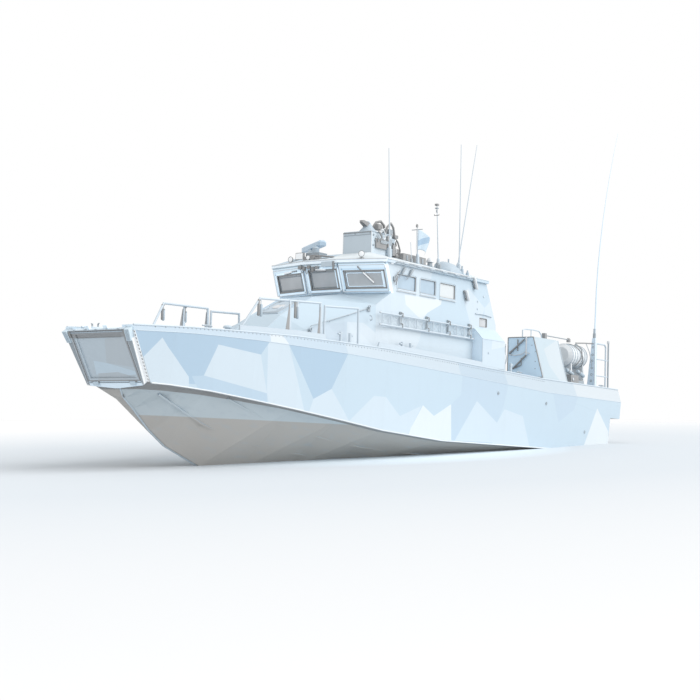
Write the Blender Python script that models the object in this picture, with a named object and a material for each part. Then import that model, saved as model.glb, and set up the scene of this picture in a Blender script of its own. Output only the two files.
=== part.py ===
"""Fast troop landing craft with a bow ramp, built as separate closed solids.

Frame: metres, +X forward, +Y to port, +Z up. The origin is amidships on the
centreline, at the waterline of the boat at rest. Port is the side at +Y.
"""

import math

import bpy
import bmesh
from mathutils import Vector

GAP = 0.0003                 # between pieces that touch
SIDES = (("port", 1), ("stbd", -1))
FAR = 12.0                   # cutters reach this far past the boat

# Hull stations, stern to bow. Columns: x, keel z, chine y, chine z,
# knuckle y, knuckle z, deck edge y, deck edge z.
STATIONS = (
    (-9.90, -0.92, 1.90, -0.30, 2.03, 1.20, 1.92, 1.58),
    (-5.00, -1.05, 2.00, -0.28, 2.15, 1.24, 2.04, 1.61),
    (0.00, -1.10, 1.98, -0.22, 2.13, 1.46, 2.02, 1.78),
    (2.50, -1.10, 1.93, -0.05, 2.06, 1.57, 1.95, 1.86),
    (4.00, -1.10, 1.84, 0.13, 1.96, 1.63, 1.85, 1.88),
    (5.50, -1.07, 1.68, 0.31, 1.79, 1.68, 1.68, 1.90),
    (6.75, -0.98, 1.46, 0.46, 1.57, 1.72, 1.46, 1.89),
    (7.80, -0.58, 1.24, 0.58, 1.36, 1.73, 1.26, 1.87),
    (8.30, -0.26, 1.12, 0.62, 1.26, 1.73, 1.17, 1.86),
    (8.80, 0.18, 1.02, 0.655, 1.16, 1.72, 1.08, 1.84),
)
KEEL_HALF = 0.06             # half width of the stem bar and keel
CHINE_FLAT = 0.17            # width of the flat under the chine
CHINE_DROP = 0.03
# The bow ends in a plane that leans forward at its top.
SILL_X = 9.24                # where that plane meets the sill
SILL_Z = 0.67
BOW_LEAN = 0.574             # forward run of the plane for each metre up
BOW_STATION = (0.38, 0.90, 0.67, 0.99, 1.68, 0.93, 1.79)   # as above, without x
DECK_END_X = SILL_X + (BOW_STATION[-1] - SILL_Z) * BOW_LEAN

# Well behind the ramp, cabin and the deep recess aft of it.
WELL_HALF = 0.66
WELL_FLOOR = 0.74
WELL_AFT_X = 5.10
BULKHEAD = 0.10
CABIN_FLOOR = 0.32
# Columns: x, half width of the cabin.
CABIN_PLAN = ((-2.85, 1.60), (2.50, 1.54), (WELL_AFT_X - BULKHEAD, 0.95))
FORE_DOOR_HALF = 0.42
FORE_DOOR_Z = (0.80, 2.02)
AFT_DOOR_HALF = 0.38
AFT_DOOR_TOP = 2.86
LEAF_LAP = 0.05              # a door leaf reaches this far past its opening
LEAF_THICK = 0.05
AFT_WELL_X = (-5.05, -2.98)
AFT_WELL_HALF = 1.80
AFT_WELL_FLOOR = 1.05
ENGINE_BAY = ((-8.20, -1.30, -0.30), (-5.35, 1.30, 1.40))
BAY_MOUTH = ((-7.85, -0.58, 1.00), (-5.65, 0.58, 3.00))
ENGINE = ((-7.75, 0.22), (-5.85, 1.00), 0.78)      # near corner, far corner, top
NOTCH_X = -9.25              # the stern overhangs the water jets aft of this
NOTCH_TOP = 0.70

# Bow ramp and the rubber frame around it, by distance up the bow plane.
RAMP_HALF = 0.74
RAMP_UP = (0.06, 1.24)
RAMP_THICK = 0.09
RAMP_RIM = 0.10
RAMP_DISH = 0.025
RAMP_EARS = (0.20, 0.32)     # lifting ears at its top, off the centreline
RAMP_KNUCKLES = (0.45, 0.60)
FRAME_HALF = (0.76, 0.92)
FRAME_UP = (-0.045, 1.27)
FRAME_SILL_TOP = -0.012
FRAME_THICK = 0.12
PAD_UP = (1.15, 1.29)

# Trunk, the low house forward of the wheelhouse: a level-topped middle strip
# with a slope on each side down to a ridge, and a nearly upright side.
# Columns: x, strip half width, top z, ridge y, ridge z, foot y.
TRUNK = (
    (1.8903, 1.69, 3.24, 1.70, 3.24, 1.70),
    (1.97, 1.69, 3.24, 1.70, 3.24, 1.70),
    (2.27, 0.52, 3.24, 1.66, 3.05, 1.68),
    (2.50, 0.52, 3.18, 1.63, 2.90, 1.66),
    (3.48, 0.50, 3.02, 1.43, 2.54, 1.475),
    (4.60, 0.465, 2.50, 1.197, 2.134, 1.263),
    (WELL_AFT_X, 0.45, 2.13, 1.08, 1.98, 1.14),
)
PLATE = 0.05
HATCH_X = (3.72, 4.52)
HATCH_HALF = 0.32
HATCH_THICK = 0.03

# Wheelhouse.
HOUSE_HALF = 1.70
HOUSE_WALL = 0.06
SILL_LINE = 3.24             # foot of the front windows
ROOF_LINE = 3.95             # top of the walls
FRONT_X = (2.27, 1.97)       # window front at its foot: centre facet, corner
FACET_Y = 0.52               # where the centre facet ends
FRONT_RAKE = 0.26 / 0.71     # the top stands further forward than the foot
FRONT_PLATE = 0.08
FRAME_PROUD = 0.075
FRONT_FRAME_Z = (3.275, 3.925)
# Columns: place, frame y, frame y, glass y, glass y, glass z, glass z.
FRONT_WINDOWS = (
    ("stbd", -1.69, -0.55, -1.58, -0.66, 3.36, 3.745),
    ("centre", -0.49, 0.49, -0.41, 0.41, 3.36, 3.79),
    ("port", 0.55, 1.69, 0.66, 1.58, 3.36, 3.745),
)
# The aft wall stands upright, then leans forward. Columns: x, z.
AFT_EDGE = ((-2.95, 2.90), (-2.42, ROOF_LINE))
SIDE_GLASS_X = ((0.92, 1.72), (0.03, 0.72), (-0.89, -0.18))
SIDE_GLASS_Z = (3.37, 3.73)
SMALL_GLASS = ((-2.50, 2.80), (-2.11, 3.03))
PANE = 0.015
LOCKER_X = (-2.95, -1.80)
LOCKER_Y = 2.00
LOCKER_TOP = (2.45, 2.76)    # at its outer edge, at the wall

# Crowned roof. Columns: x, half width, eave top z, shoulder y, top z.
ROOF = (
    (-2.46, 1.76, 4.03, 1.05, 4.25),
    (2.00, 1.76, 4.03, 1.05, 4.25),
    (2.26, 1.76, 4.03, 1.00, 4.16),
    (2.62, 0.55, 4.03, 0.36, 4.05),
)
ROOF_HOLLOW = ((-2.30, 1.80), ((1.56, 3.90), (1.56, 3.97), (1.00, 4.19)))

TUB_X = (1.06, 1.92)         # open shield box on the roof
TUB_Y = (0.20, 1.04)
TUB_TOP = 4.78
TUB_FLOOR = 4.31
TUB_WALL = 0.04
SENSOR_Z = 4.70
RADAR = (1.40, -1.11)
RADAR_HEADING = 54.6         # degrees from +X towards +Y
RADAR_BAR = (1.50, 0.22, 0.14)
RADAR_BAR_FOOT = 4.53
PEDESTAL_TOP = 4.50
ROOF_BOX = ((-0.26, 0.76), (0.80, 1.20), 4.38)
# Columns: name, y, foot x, top x, top z.
AERIALS = (
    ("whip_fore", 1.30, 1.50, 1.66, 6.83),
    ("signal_mast", 1.30, 0.26, 0.33, 5.10),
    ("aerial_pole", 1.30, -0.70, -0.56, 5.78),
    ("whip_aft_outer", 1.30, -1.70, -1.66, 7.55),
    ("whip_aft_inner", 1.15, -1.83, -2.70, 7.75),
)

RAIL_TUBE = 0.026
RAIL_INSET = 0.10
# Rails along the deck edge. Columns: x, height above the deck at that corner.
BOW_RAIL = ((7.05, 0.0), (6.50, 0.75), (4.71, 0.82), (4.69, 0.0))
SIDE_RAIL = ((4.57, 0.0), (4.56, 0.77), (3.42, 0.84), (3.40, 0.0))
BOW_RAIL_LEG_X = 5.65
LEG_FOOT = (0.10, 0.03)      # plan size of a leg at the deck
LEG_HEAD = (0.045, 0.025)
# Toe rail. Columns: x, height.
TOE_RAIL = ((-1.78, 0.13), (2.72, 0.13), (2.76, 0.02), (4.58, 0.02), (4.62, 0.13), (7.10, 0.13))
BITT_X = (3.78, 1.45)        # on the toe rail
AFT_BITT_X = -3.24
BITT_SPREAD = 0.18
BITT_RISE = 0.24
BITT_RADIUS = 0.035

LADDER_X = (-1.74, 2.50)
LADDER_Z = (2.44, 2.72)
LADDER_Y = 1.76
LADDER_RUNGS = 12
LADDER_BRACKETS = (-1.5, 0.3, 1.7)

# Aft deck.
AFT_BOX_X = (-6.55, -5.10)
AFT_BOX_INNER = 0.85
AFT_BOX_FOOT = 1.98
AFT_BOX_SHOULDER = 1.66
AFT_BOX_TOP = 2.79
ENGINE_HATCH_X = (-7.95, -5.55)
ENGINE_HATCH_HALF = 0.68
ENGINE_HATCH_THICK = 0.06
RAFT = (-7.86, 1.36, 2.45)
RAFT_RADIUS = 0.33
RAFT_HALF = 0.55
CRADLE_REACH = 0.36
POST_X = (-8.53, -8.44)      # stern post: a tapered board that faces forward
POST_FOOT_Y = (1.62, 1.87)
POST_HEAD_Y = (1.77, 1.87)
POST_TOP = 3.02
WHIP_STRAIGHT_TO = 3.74      # the stern whip bends aft above this
WHIP_TOP = 9.40
WHIP_BEND = 0.0625
WHIP_POWER = 1.75
STERN_RAIL_X = (-9.28, -8.64)
STERN_RAIL_Y = 1.80
STERN_RAIL_TOP = 2.88
STERN_RAIL_BARS = (1.93, 2.42)

# Water jets.
JET_Y = 0.64
JET_Z = -0.22
# Columns: distance aft of the notch, radius.
JET_HOUSING = ((GAP, 0.33), (0.06, 0.33), (0.07, 0.24), (0.20, 0.21))
STEER_X = NOTCH_X - 0.43     # upright axis of a steering nozzle
BUCKET_X = NOTCH_X - 0.50    # level axis of a reversing bucket
NOZZLE_RADIUS = 0.20
NOZZLE_MOUTH = (0.23, 0.14)  # its distance aft of the steering axis, its radius
STEER_PIN = (0.208, 0.035)   # half height, radius
BUCKET_PIN = (0.22, 0.03)
LUG_Z = (0.2083, 0.235)
BUCKET_RADII = (0.27, 0.31)
BUCKET_HALF = 0.26
BUCKET_ARC = (50, 115)       # degrees upwards from straight aft


def table_value(table, x, column):
    """Value of a column at x, straight between the rows either side."""
    if x <= table[0][0]:
        return table[0][column]
    for low, high in zip(table, table[1:]):
        if x <= high[0]:
            share = (x - low[0]) / (high[0] - low[0])
            return low[column] + share * (high[column] - low[column])
    return table[-1][column]


DECK_ROWS = STATIONS + ((DECK_END_X, *BOW_STATION),)


def deck_y(x):
    return table_value(DECK_ROWS, x, 6)


def deck_z(x):
    return table_value(DECK_ROWS, x, 7)


def seat(x, reach=0.0):
    """Height just clear of the deck under a foot that reaches this far each way."""
    return max(deck_z(x - reach), deck_z(x + reach)) + GAP


def stops(x_low, x_high, *tables):
    """Both ends and every table row between them, in rising order."""
    rows = [row[0] for table in (STATIONS, *tables) for row in table]
    return sorted({x_low, x_high} | {x for x in rows if x_low + 0.01 < x < x_high - 0.01})


def clear_scene():
    for obj in list(bpy.data.objects):
        bpy.data.objects.remove(obj, do_unlink=True)


def material(name, color, roughness, metallic=0.0, alpha=1.0):
    made = bpy.data.materials.get(name)
    if made:
        return made
    made = bpy.data.materials.new(name)
    made.use_nodes = True
    shader = made.node_tree.nodes["Principled BSDF"]
    shader.inputs["Base Color"].default_value = (*color, 1.0)
    shader.inputs["Roughness"].default_value = roughness
    shader.inputs["Metallic"].default_value = metallic
    shader.inputs["Alpha"].default_value = alpha
    return made


def hull_paint():
    return material("hull_paint", (0.62, 0.70, 0.80), 0.55)


def deck_paint():
    return material("deck_paint", (0.55, 0.62, 0.72), 0.8)


def grey_paint():
    return material("grey_paint", (0.45, 0.52, 0.60), 0.6)


def rail_paint():
    return material("rail_paint", (0.78, 0.83, 0.88), 0.5)


def dark_paint():
    return material("dark_paint", (0.36, 0.40, 0.44), 0.6)


def rubber():
    return material("rubber", (0.34, 0.37, 0.40), 0.85)


def glass():
    return material("window_glass", (0.38, 0.43, 0.48), 0.1, alpha=0.6)


def white_plastic():
    return material("white_plastic", (0.82, 0.86, 0.90), 0.4)


def bare_alloy():
    return material("bare_alloy", (0.60, 0.62, 0.65), 0.4, 0.9)


def solid(name, verts, faces, look, smooth=False):
    """An object from points and faces, its faces turned outwards."""
    mesh = bpy.data.meshes.new(name)
    work = bmesh.new()
    points = [work.verts.new(v) for v in verts]
    for face in faces:
        work.faces.new([points[i] for i in face])
    bmesh.ops.recalc_face_normals(work, faces=work.faces)
    work.to_mesh(mesh)
    work.free()
    if smooth:
        mesh.shade_smooth()
        mesh.set_sharp_from_angle(angle=math.radians(35))
    obj = bpy.data.objects.new(name, mesh)
    bpy.context.scene.collection.objects.link(obj)
    if look:
        mesh.materials.append(look)
    return obj


def loft(name, rings, look, smooth=False):
    """A skin through rings of equally many points, closed by a face at each end."""
    count = len(rings[0])
    verts = [point for ring in rings for point in ring]
    faces = [list(range(count))]
    for step in range(len(rings) - 1):
        base = step * count
        for i in range(count):
            j = (i + 1) % count
            faces.append([base + i, base + j, base + count + j, base + count + i])
    faces.append([(len(rings) - 1) * count + i for i in range(count)])
    return solid(name, verts, faces, look, smooth)


def block(name, low, high, look):
    """A box between two corners."""
    rings = [[(x, low[1], low[2]), (x, high[1], low[2]), (x, high[1], high[2]), (x, low[1], high[2])]
             for x in (low[0], high[0])]
    return loft(name, rings, look)


def across(side, near, far):
    """A range of Y on one side of the boat, from its distances off the centreline."""
    return sorted((side * near, side * far))


def side_block(name, x, side, y, z, look):
    """A box from its ranges of X, distance off the centreline, and Z."""
    near, far = across(side, *y)
    return block(name, (x[0], near, z[0]), (x[1], far, z[1]), look)


def both_sides(half):
    """A half outline in Y and Z, port side first, closed on the other side."""
    return list(half) + [(-y, z) for y, z in reversed(half)]


def along_x(name, outline, x_low, x_high, look):
    """An outline in Y and Z, drawn out along X."""
    return loft(name, [[(x, y, z) for y, z in outline] for x in (x_low, x_high)], look)


def along_y(name, outline, y_low, y_high, look):
    """An outline in X and Z, drawn out along Y."""
    return loft(name, [[(x, y, z) for x, z in outline] for y in (y_low, y_high)], look)


def ring_about(centre, along, radius, sides):
    """Points of a circle around a line through centre."""
    along = Vector(along).normalized()
    helper = Vector((0, 0, 1)) if abs(along.z) < 0.9 else Vector((1, 0, 0))
    first = along.cross(helper).normalized()
    second = along.cross(first)
    angles = (2 * math.pi * i / sides for i in range(sides))
    return [Vector(centre) + radius * (first * math.cos(a) + second * math.sin(a)) for a in angles]


def turned(name, stages, look, sides=16):
    """A round body. Each stage is a centre and a radius, along one straight line."""
    along = Vector(stages[-1][0]) - Vector(stages[0][0])
    rings = [ring_about(centre, along, radius, sides) for centre, radius in stages]
    return loft(name, rings, look, smooth=True)


def rod(name, start, end, radius, look, sides=8):
    return turned(name, ((start, radius), (end, radius)), look, sides)


def bent_tube(name, points, radius, look, sides=8):
    """A tube through points, with mitred corners and level ends."""
    points = [Vector(p) for p in points]
    runs = [(b - a).normalized() for a, b in zip(points, points[1:])]
    level = Vector((0, 0, 1))
    normals = [level] + [(a + b).normalized() for a, b in zip(runs, runs[1:])] + [level]
    rings = [ring_about(points[0], runs[0], radius, sides)]
    for target, normal, run in zip(points, normals, [runs[0]] + runs):
        rings.append([p + run * ((target - p).dot(normal) / run.dot(normal)) for p in rings[-1]])
    return loft(name, rings[1:], look, smooth=True)


def boolean(target, tool, operation):
    change = target.modifiers.new(tool.name, "BOOLEAN")
    change.operation = operation
    change.solver = "EXACT"
    change.object = tool
    tool.hide_render = True
    tool.display_type = "WIRE"


def cut(target, *tools):
    for tool in tools:
        boolean(target, tool, "DIFFERENCE")


def add(target, *tools):
    for tool in tools:
        boolean(target, tool, "UNION")


def bow_point(up, out, y=0.0):
    """A point by its distance up the leaning bow plane and out from it."""
    size = math.hypot(1.0, BOW_LEAN)
    rise = Vector((BOW_LEAN / size, 0, 1 / size))
    forward = Vector((1 / size, 0, -BOW_LEAN / size))
    return Vector((SILL_X, y, SILL_Z)) + rise * up + forward * out


def bow_block(name, up, out, y, look):
    """A box lying on the bow plane: its ranges up, out and across."""
    corners = ((up[0], out[0]), (up[1], out[0]), (up[1], out[1]), (up[0], out[1]))
    return loft(name, [[bow_point(u, o, side) for u, o in corners] for side in y], look)


def hull_ring(x_of, keel_z, chine_y, chine_z, knuckle_y, knuckle_z, edge_y, edge_z):
    half = ((edge_y, edge_z), (knuckle_y, knuckle_z), (chine_y, chine_z),
            (chine_y - CHINE_FLAT, chine_z - CHINE_DROP), (KEEL_HALF, keel_z))
    return [(x_of(z), y, z) for y, z in both_sides(half)]


def make_hull():
    rings = [hull_ring(lambda z, x=row[0]: x, *row[1:]) for row in STATIONS]
    rings.append(hull_ring(lambda z: SILL_X + (z - SILL_Z) * BOW_LEAN, *BOW_STATION))
    hull = loft("hull", rings, hull_paint())
    fore_wall = WELL_AFT_X - BULKHEAD
    well = block("cut_bow_well", (WELL_AFT_X, -WELL_HALF, WELL_FLOOR), (FAR, WELL_HALF, 3.0), None)
    cabin = loft("cut_cabin", [[(x, -half, CABIN_FLOOR), (x, half, CABIN_FLOOR), (x, half, 3.0), (x, -half, 3.0)]
                               for x, half in CABIN_PLAN], None)
    fore_door = block("cut_fore_door", (fore_wall - BULKHEAD, -FORE_DOOR_HALF, FORE_DOOR_Z[0]),
                      (WELL_AFT_X + BULKHEAD, FORE_DOOR_HALF, 3.0), None)
    recess = block("cut_aft_well", (AFT_WELL_X[0], -AFT_WELL_HALF, AFT_WELL_FLOOR),
                   (AFT_WELL_X[1], AFT_WELL_HALF, 3.0), None)
    aft_door = block("cut_aft_door", (AFT_WELL_X[1] - BULKHEAD, -AFT_DOOR_HALF, AFT_WELL_FLOOR + LEAF_LAP),
                     (CABIN_PLAN[0][0] + BULKHEAD, AFT_DOOR_HALF, 3.0), None)
    bay = block("cut_engine_bay", *ENGINE_BAY, None)
    mouth = block("cut_bay_mouth", *BAY_MOUTH, None)
    notch = block("cut_stern_notch", (-FAR, -3.0, -2.0), (NOTCH_X, 3.0, NOTCH_TOP), None)
    cut(hull, well, cabin, fore_door, recess, aft_door, bay, mouth, notch)


def make_bow_frame():
    inner, outer = FRAME_HALF
    half = [(outer, FRAME_UP[0]), (outer, FRAME_UP[1]), (inner, FRAME_UP[1]), (inner, FRAME_SILL_TOP)]
    frame = loft("bow_frame", [[bow_point(up, out, y) for y, up in both_sides(half)]
                               for out in (GAP, FRAME_THICK)], rubber())
    for name, side in SIDES:
        pad_y = across(side, inner + 0.01, outer + 0.03)
        add(frame, bow_block("bow_pad_" + name, PAD_UP, (0.02, FRAME_THICK + 0.04), pad_y, rubber()))


def make_ramp():
    low, high = RAMP_UP
    ramp = bow_block("bow_ramp", RAMP_UP, (GAP, RAMP_THICK), (-RAMP_HALF, RAMP_HALF), grey_paint())
    dish_half = RAMP_HALF - RAMP_RIM
    cut(ramp, bow_block("cut_ramp_face", (low + RAMP_RIM, high - RAMP_RIM), (RAMP_THICK - RAMP_DISH, 0.2),
                        (-dish_half, dish_half), None))
    for name, side in SIDES:
        add(ramp, bow_block("ramp_ear_" + name, (high - 0.04, high + 0.08), (0.02, 0.07),
                            across(side, *RAMP_EARS), grey_paint()))
        add(ramp, bow_block("ramp_knuckle_" + name, (0.004, low + 0.03), (0.07, 0.12),
                            across(side, *RAMP_KNUCKLES), grey_paint()))


def trunk_top(x):
    return table_value(TRUNK, x, 2)


def trunk_ring(x):
    strip, top, ridge_y, ridge_z, foot_y = (table_value(TRUNK, x, column) for column in range(1, 6))
    half = ((foot_y, deck_z(x) + GAP), (ridge_y, ridge_z), (strip, top))
    return [(x, y, z) for y, z in both_sides(half)]


def trunk_hollow_ring(x):
    """The trunk's section one plate further in, reaching down through the deck."""
    strip, top, ridge_y, ridge_z, foot_y = (table_value(TRUNK, x, column) for column in range(1, 6))
    strip = min(strip, ridge_y - PLATE) - 0.01
    half = ((foot_y - PLATE, 1.5), (ridge_y - PLATE, ridge_z - 0.9 * PLATE), (strip, top - PLATE))
    return [(x, y, z) for y, z in both_sides(half)]


def make_trunk():
    start, end = TRUNK[0][0], TRUNK[-1][0]
    trunk = loft("trunk", [trunk_ring(x) for x in stops(start, end, TRUNK)], hull_paint())
    inside = [x for x in stops(start, end - PLATE, TRUNK) if x > start]
    rings = [trunk_hollow_ring(x) for x in inside]
    rings.insert(0, [(start - PLATE, y, z) for _, y, z in trunk_hollow_ring(start)])
    cut(trunk, loft("cut_trunk", rings, None))
    cut(trunk, block("cut_trunk_door", (end - BULKHEAD, -FORE_DOOR_HALF, 1.5),
                     (end + BULKHEAD, FORE_DOOR_HALF, FORE_DOOR_Z[1]), None))
    hole_half = HATCH_HALF - 0.04
    cut(trunk, block("cut_trunk_hatch", (HATCH_X[0] + 0.05, -hole_half, 2.2),
                     (HATCH_X[1] - 0.05, hole_half, 3.4), None))
    lid = [(x, trunk_top(x) + lift) for x, lift in ((HATCH_X[0], GAP), (HATCH_X[1], GAP),
                                                   (HATCH_X[1], HATCH_THICK), (HATCH_X[0], HATCH_THICK))]
    along_y("trunk_hatch", lid, -HATCH_HALF, HATCH_HALF, deck_paint())
    leaf_half = FORE_DOOR_HALF + LEAF_LAP
    block("forward_door", (WELL_AFT_X + GAP, -leaf_half, FORE_DOOR_Z[0] - 0.025),
          (WELL_AFT_X + LEAF_THICK, leaf_half, FORE_DOOR_Z[1] + LEAF_LAP), grey_paint())


def front_x(y, z):
    """The wheelhouse front at a height and a distance off the centreline."""
    swept = max(0.0, abs(y) - FACET_Y) / (HOUSE_HALF - FACET_Y)
    return FRONT_X[0] + (FRONT_X[1] - FRONT_X[0]) * swept + (z - SILL_LINE) * FRONT_RAKE


def facet_block(name, y, z, out, look):
    """A block that follows one facet of the front: its ranges across, up and out."""
    corners = ((y[0], z[0]), (y[1], z[0]), (y[1], z[1]), (y[0], z[1]))
    return loft(name, [[(front_x(a, b) + depth, a, b) for a, b in corners] for depth in out], look)


def make_house_front():
    rings = []
    for z in (SILL_LINE + GAP, ROOF_LINE):
        outer = [(front_x(y, z), y, z) for y in (HOUSE_HALF, FACET_Y, -FACET_Y, -HOUSE_HALF)]
        rings.append(outer + [(x - FRONT_PLATE, y, z) for x, y, z in reversed(outer)])
    front = loft("wheelhouse_front", rings, hull_paint())
    for place, frame_low, frame_high, *_ in FRONT_WINDOWS:
        add(front, facet_block("window_frame_" + place, (frame_low, frame_high), FRONT_FRAME_Z,
                               (-0.03, FRAME_PROUD), hull_paint()))
    for place, _, _, low, high, z_low, z_high in FRONT_WINDOWS:
        cut(front, block("cut_window_" + place, (1.5, low, z_low), (3.2, high, z_high), None))
        facet_block("front_glass_" + place, (low + GAP, high - GAP), (z_low + GAP, z_high - GAP),
                    (-0.02, PANE - 0.02), glass())


def make_house_side(name, side):
    fore = FRONT_X[1] - FRONT_PLATE
    foot = [(x, deck_z(x) + GAP) for x in stops(AFT_EDGE[0][0], fore)]
    fore_top = fore + (ROOF_LINE - SILL_LINE) * FRONT_RAKE - GAP
    outline = foot + [(fore, SILL_LINE), (fore_top, ROOF_LINE)] + list(reversed(AFT_EDGE))
    wall = along_y("wheelhouse_" + name, outline, *across(side, HOUSE_HALF - HOUSE_WALL, HOUSE_HALF), hull_paint())
    openings = [((x[0], SIDE_GLASS_Z[0]), (x[1], SIDE_GLASS_Z[1])) for x in SIDE_GLASS_X] + [SMALL_GLASS]
    for index, (low, high) in enumerate(openings):
        cut(wall, side_block(f"cut_side_{name}_{index}", (low[0], high[0]), side, (1.5, 1.9), (low[1], high[1]), None))


def make_side_glass(name, side):
    """One sheet behind the wall, with a raised pane in each of the three windows."""
    inside = HOUSE_HALF - HOUSE_WALL
    sheet = side_block("side_glass_" + name, (SIDE_GLASS_X[-1][0] - 0.06, SIDE_GLASS_X[0][1] + 0.06), side,
                       (inside - 0.012, inside - GAP), (SIDE_GLASS_Z[0] - 0.04, SIDE_GLASS_Z[1] + 0.04), glass())
    for index, x in enumerate(SIDE_GLASS_X):
        add(sheet, side_block(f"side_pane_{name}_{index}", (x[0] + GAP, x[1] - GAP), side,
                              (inside - 0.006, HOUSE_HALF - 0.03),
                              (SIDE_GLASS_Z[0] + GAP, SIDE_GLASS_Z[1] - GAP), glass()))
    low, high = SMALL_GLASS
    side_block("small_glass_" + name, (low[0] + GAP, high[0] - GAP), side,
               (HOUSE_HALF - 0.03 - PANE, HOUSE_HALF - 0.03), (low[1] + GAP, high[1] - GAP), glass())


def make_locker(name, side):
    foot = seat(LOCKER_X[1])
    wall = HOUSE_HALF + GAP
    outline = [(side * y, z) for y, z in ((wall, foot), (LOCKER_Y, foot), (LOCKER_Y, LOCKER_TOP[0]),
                                          (wall, LOCKER_TOP[1]))]
    along_x("locker_" + name, outline, *LOCKER_X, hull_paint())


def make_house_aft():
    half = HOUSE_HALF - HOUSE_WALL - GAP
    (foot_x, bend_z), (head_x, head_z) = AFT_EDGE
    inner_x = foot_x + HOUSE_WALL
    outline = [(foot_x, deck_z(foot_x) + GAP), (foot_x, bend_z), (head_x, head_z), (head_x + 0.07, head_z),
               (inner_x, bend_z - 0.01), (inner_x, deck_z(inner_x) + GAP)]
    aft = along_y("wheelhouse_aft", outline, -half, half, hull_paint())
    cut(aft, block("cut_house_door", (foot_x - 0.2, -AFT_DOOR_HALF, 1.5), (foot_x + 0.2, AFT_DOOR_HALF, AFT_DOOR_TOP),
                   None))
    leaf_half = AFT_DOOR_HALF + LEAF_LAP
    block("aft_door", (AFT_WELL_X[1] - LEAF_THICK, -leaf_half, AFT_WELL_FLOOR + 0.012),
          (AFT_WELL_X[1] - GAP, leaf_half, AFT_DOOR_TOP + LEAF_LAP), grey_paint())


def roof_ring(x, half, eave_z, shoulder, top):
    outline = both_sides(((half, ROOF_LINE + GAP), (half, eave_z), (shoulder, top)))
    return [(x, y, z) for y, z in outline]


def roof_top(y):
    """Height of the roof's upper face off the centreline, aft of its front slope."""
    _, half, eave_z, shoulder, top = ROOF[0]
    return table_value(((0.0, top), (shoulder, top), (half, eave_z)), abs(y), 1)


def make_roof():
    roof = loft("wheelhouse_roof", [roof_ring(*row) for row in ROOF], hull_paint())
    ends, inner = ROOF_HOLLOW
    cut(roof, along_x("cut_roof", both_sides(inner), *ends, None))


def sit_on_roof(obj):
    """Trims a piece to the crowned roof under it."""
    tool = bpy.data.objects.get("cut_roof_top")
    if not tool:
        _, half, eave_z, shoulder, top = ROOF[0]
        half_outline = ((half, ROOF_LINE - 0.1), (half, eave_z + GAP), (shoulder, top + GAP))
        tool = along_x("cut_roof_top", both_sides(half_outline), ROOF[0][0], ROOF[1][0], None)
    cut(obj, tool)
    return obj


def make_roof_tub():
    tub = block("roof_tub", (TUB_X[0], TUB_Y[0], ROOF_LINE + 0.2), (TUB_X[1], TUB_Y[1], TUB_TOP), grey_paint())
    cut(tub, block("cut_tub", (TUB_X[0] + TUB_WALL, TUB_Y[0] + TUB_WALL, TUB_FLOOR),
                   (TUB_X[1] - TUB_WALL, TUB_Y[1] - TUB_WALL, TUB_TOP + 0.2), None))
    sit_on_roof(tub)
    middle = (sum(TUB_X) / 2, sum(TUB_Y) / 2)
    turned("sensor_post", (((*middle, TUB_FLOOR + GAP), 0.12), ((*middle, SENSOR_Z), 0.09)), dark_paint())
    head = ((0.0, 0.16), (0.10, 0.19), (0.32, 0.17), (0.38, 0.08))
    turned("sensor_head", [((*middle, SENSOR_Z + GAP + up), radius) for up, radius in head], grey_paint())


def make_radar():
    x, y = RADAR
    body = ((ROOF_LINE + 0.2, 0.21), (PEDESTAL_TOP - 0.10, 0.19), (PEDESTAL_TOP, 0.11))
    sit_on_roof(turned("radar_pedestal", [((x, y, z), radius) for z, radius in body], dark_paint()))
    length, depth, height = RADAR_BAR
    heading = math.radians(RADAR_HEADING)
    along = Vector((math.cos(heading), math.sin(heading), 0))
    sideways = Vector((-along.y, along.x, 0))
    half_outline = ((depth / 2, 0.0), (depth / 2, 0.7 * height), (depth / 4, height))
    rings = []
    for reach, size in ((-0.5, 0.7), (-0.46, 1.0), (0.46, 1.0), (0.5, 0.7)):
        centre = Vector((x, y, RADAR_BAR_FOOT)) + along * length * reach
        rings.append([centre + sideways * v * size + Vector((0, 0, w * size)) for v, w in both_sides(half_outline)])
    scanner = loft("radar_scanner", rings, white_plastic())
    add(scanner, rod("radar_boss", (x, y, PEDESTAL_TOP + GAP), (x, y, RADAR_BAR_FOOT + 0.02), 0.07,
                     white_plastic(), 12))


def make_roof_box():
    x, y, top = ROOF_BOX
    sit_on_roof(block("roof_box", (x[0], y[0], ROOF_LINE + 0.1), (x[1], y[1], top), dark_paint()))


def rail_point(x, rise, side):
    return Vector((x, side * (deck_y(x) - RAIL_INSET), seat(x, LEG_FOOT[0] / 2) + rise))


def rail_leg(name, x, rise, side):
    """An upright plate that widens towards the deck."""
    rings = []
    for lift, (length, width) in ((0.0, LEG_FOOT), (rise, LEG_HEAD)):
        at = rail_point(x, lift, side)
        rings.append([(at.x + a * length / 2, at.y + b * width / 2, at.z)
                      for a, b in ((-1, -1), (1, -1), (1, 1), (-1, 1))])
    return loft(name, rings, rail_paint())


def deck_rail(name, corners, leg_x, side):
    rail = bent_tube(name, [rail_point(x, rise, side) for x, rise in corners], RAIL_TUBE, rail_paint())
    for index, x in enumerate(leg_x):
        rise = table_value(sorted(corners[1:3]), x, 1)
        add(rail, rail_leg(f"{name}_leg_{index}", x, rise, side))


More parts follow.
